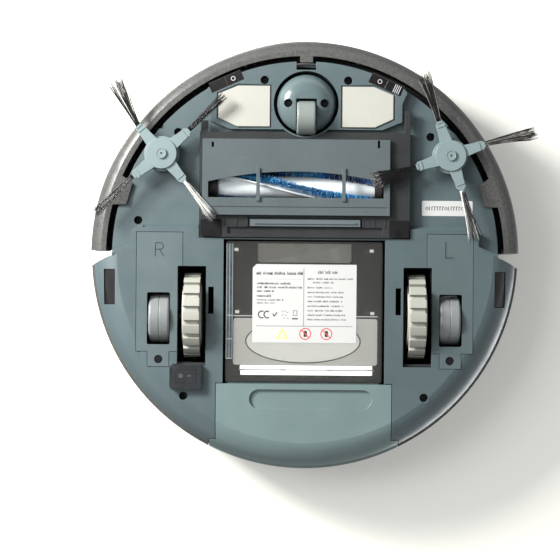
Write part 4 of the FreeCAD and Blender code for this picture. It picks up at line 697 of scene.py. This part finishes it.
# ------------------------------------------------------------------ top side
tp = Build()
tp.ring(-12.0, -93.5, 11.5, 12.4, 88.2, 88.32, 0, seg=60)
tp.ring(22.0, -93.5, 6.5, 7.2, 88.2, 88.32, 0, seg=48)
tp.disc(36.0, -93.5, 0.9, 88.2, 88.35, 1, seg=20)
tp.ring(-12.0, -93.5, 2.6, 3.3, 90.18, 90.24, 2, seg=32, a0=-55, a1=235)
tp.box(-12.35, -90.6 - 0.2, -11.65, -87.4, 90.18, 90.24, 2)
tp.prism([(19.8, -93.6), (22.0, -91.6), (24.2, -93.6), (24.2, -96.0), (19.8, -96.0)], 90.18, 90.24, 2)
tp.done("panel_rings", ["silver", "led", "ink_dark"], "chassis_body", slot="button_silver")

# ------------------------------------------------------------------ stage, lights, camera
sc = bpy.context.scene
sc.view_settings.view_transform = "Standard"
sc.view_settings.look = "None"


def stage_plane(name, z, down, rgb, size=4.0, speck=False):
    me = bpy.data.meshes.new(name)
    s = size / 2
    v = [(-s, -s, z), (s, -s, z), (s, s, z), (-s, s, z)]
    me.from_pydata(v, [], [(3, 2, 1, 0) if down else (0, 1, 2, 3)])
    o = bpy.data.objects.new(name, me)
    sc.collection.objects.link(o)
    m = bpy.data.materials.new(name + "_paint")
    m.use_nodes = True
    nt = m.node_tree
    link = nt.links.new
    p = nt.nodes["Principled BSDF"]
    p.inputs["Base Color"].default_value = col(*rgb)
    p.inputs["Roughness"].default_value = 0.85
    p.inputs["Specular IOR Level"].default_value = 0.15
    p.inputs["Emission Color"].default_value = (1.0, 1.0, 0.98, 1)
    p.inputs["Emission Strength"].default_value = 0.16 if down else 0.0
    tc = node(nt, "ShaderNodeTexCoord")
    if speck:
        n = node(nt, "ShaderNodeTexNoise")
        n.inputs["Scale"].default_value = 34.0
        n.inputs["Detail"].default_value = 8.0
        n.inputs["Roughness"].default_value = 0.7
        link(tc.outputs["Object"], n.inputs["Vector"])
        bp = node(nt, "ShaderNodeBump")
        bp.inputs["Strength"].default_value = 0.22
        bp.inputs["Distance"].default_value = 0.0012
        link(n.outputs["Fac"], bp.inputs["Height"])
        link(bp.outputs["Normal"], p.inputs["Normal"])
    ge = node(nt, "ShaderNodeNewGeometry")
    tr = node(nt, "ShaderNodeBsdfTransparent")
    mx = node(nt, "ShaderNodeMixShader")
    link(ge.outputs["Backfacing"], mx.inputs[0])
    link(p.outputs[0], mx.inputs[1])
    link(tr.outputs[0], mx.inputs[2])
    link(mx.outputs[0], nt.nodes["Material Output"].inputs["Surface"])
    me.materials.append(m)
    o.visible_shadow = False
    return o


back = stage_plane("backdrop", 0.0906, True, (236, 234, 226), speck=True)
floor = stage_plane("floor", 0.0, False, (226, 226, 224))
back.visible_diffuse = False
back.visible_glossy = False
floor.visible_diffuse = False

world = bpy.data.worlds.new("studio")
sc.world = world
world.use_nodes = True
bg = world.node_tree.nodes["Background"]
bg.inputs["Color"].default_value = (0.9, 0.92, 0.94, 1)
bg.inputs["Strength"].default_value = 0.46


def area(name, at, aim, size, watt, color=(1, 1, 1), size_y=None):
    li = bpy.data.lights.new(name, "AREA")
    li.energy = watt
    li.color = color
    li.shape = "RECTANGLE"
    li.size = size
    li.size_y = size_y or size
    o = bpy.data.objects.new(name, li)
    sc.collection.objects.link(o)
    o.location = at
    o.rotation_mode = "QUATERNION"
    o.rotation_quaternion = (Vector(aim) - Vector(at)).to_track_quat("-Z", "Y")
    o.visible_camera = False
    return o


area("key", (-0.86, -0.54, -0.54), (-0.02, 0.0, 0.05), 0.34, 36.5, (1.0, 0.99, 0.97))
area("sheen", (-0.8, -0.3, -1.1), (-0.06, 0.0, 0.05), 0.7, 9.0, (0.97, 0.99, 1.0))
area("upper_key", (-0.7, -1.0, 1.35), (0.0, 0.0, 0.04), 1.0, 34.0, (1.0, 0.99, 0.97))
area("upper_fill", (1.1, 0.7, 1.2), (0.0, 0.0, 0.04), 1.2, 15.0, (0.95, 0.98, 1.0))

cam = bpy.data.cameras.new("camera")
cam_o = bpy.data.objects.new("camera", cam)
sc.collection.objects.link(cam_o)
cam.lens = 113.7
cam.sensor_width = 36.0
cam.clip_start = 0.05
cam.clip_end = 20.0
cam_o.matrix_world = Matrix.Translation((-0.0195, 0.0198, -1.376)) @ Matrix.Rotation(math.pi, 4, "X") @ Matrix.Rotation(math.radians(0.5), 4, "Z")
sc.camera = cam_o
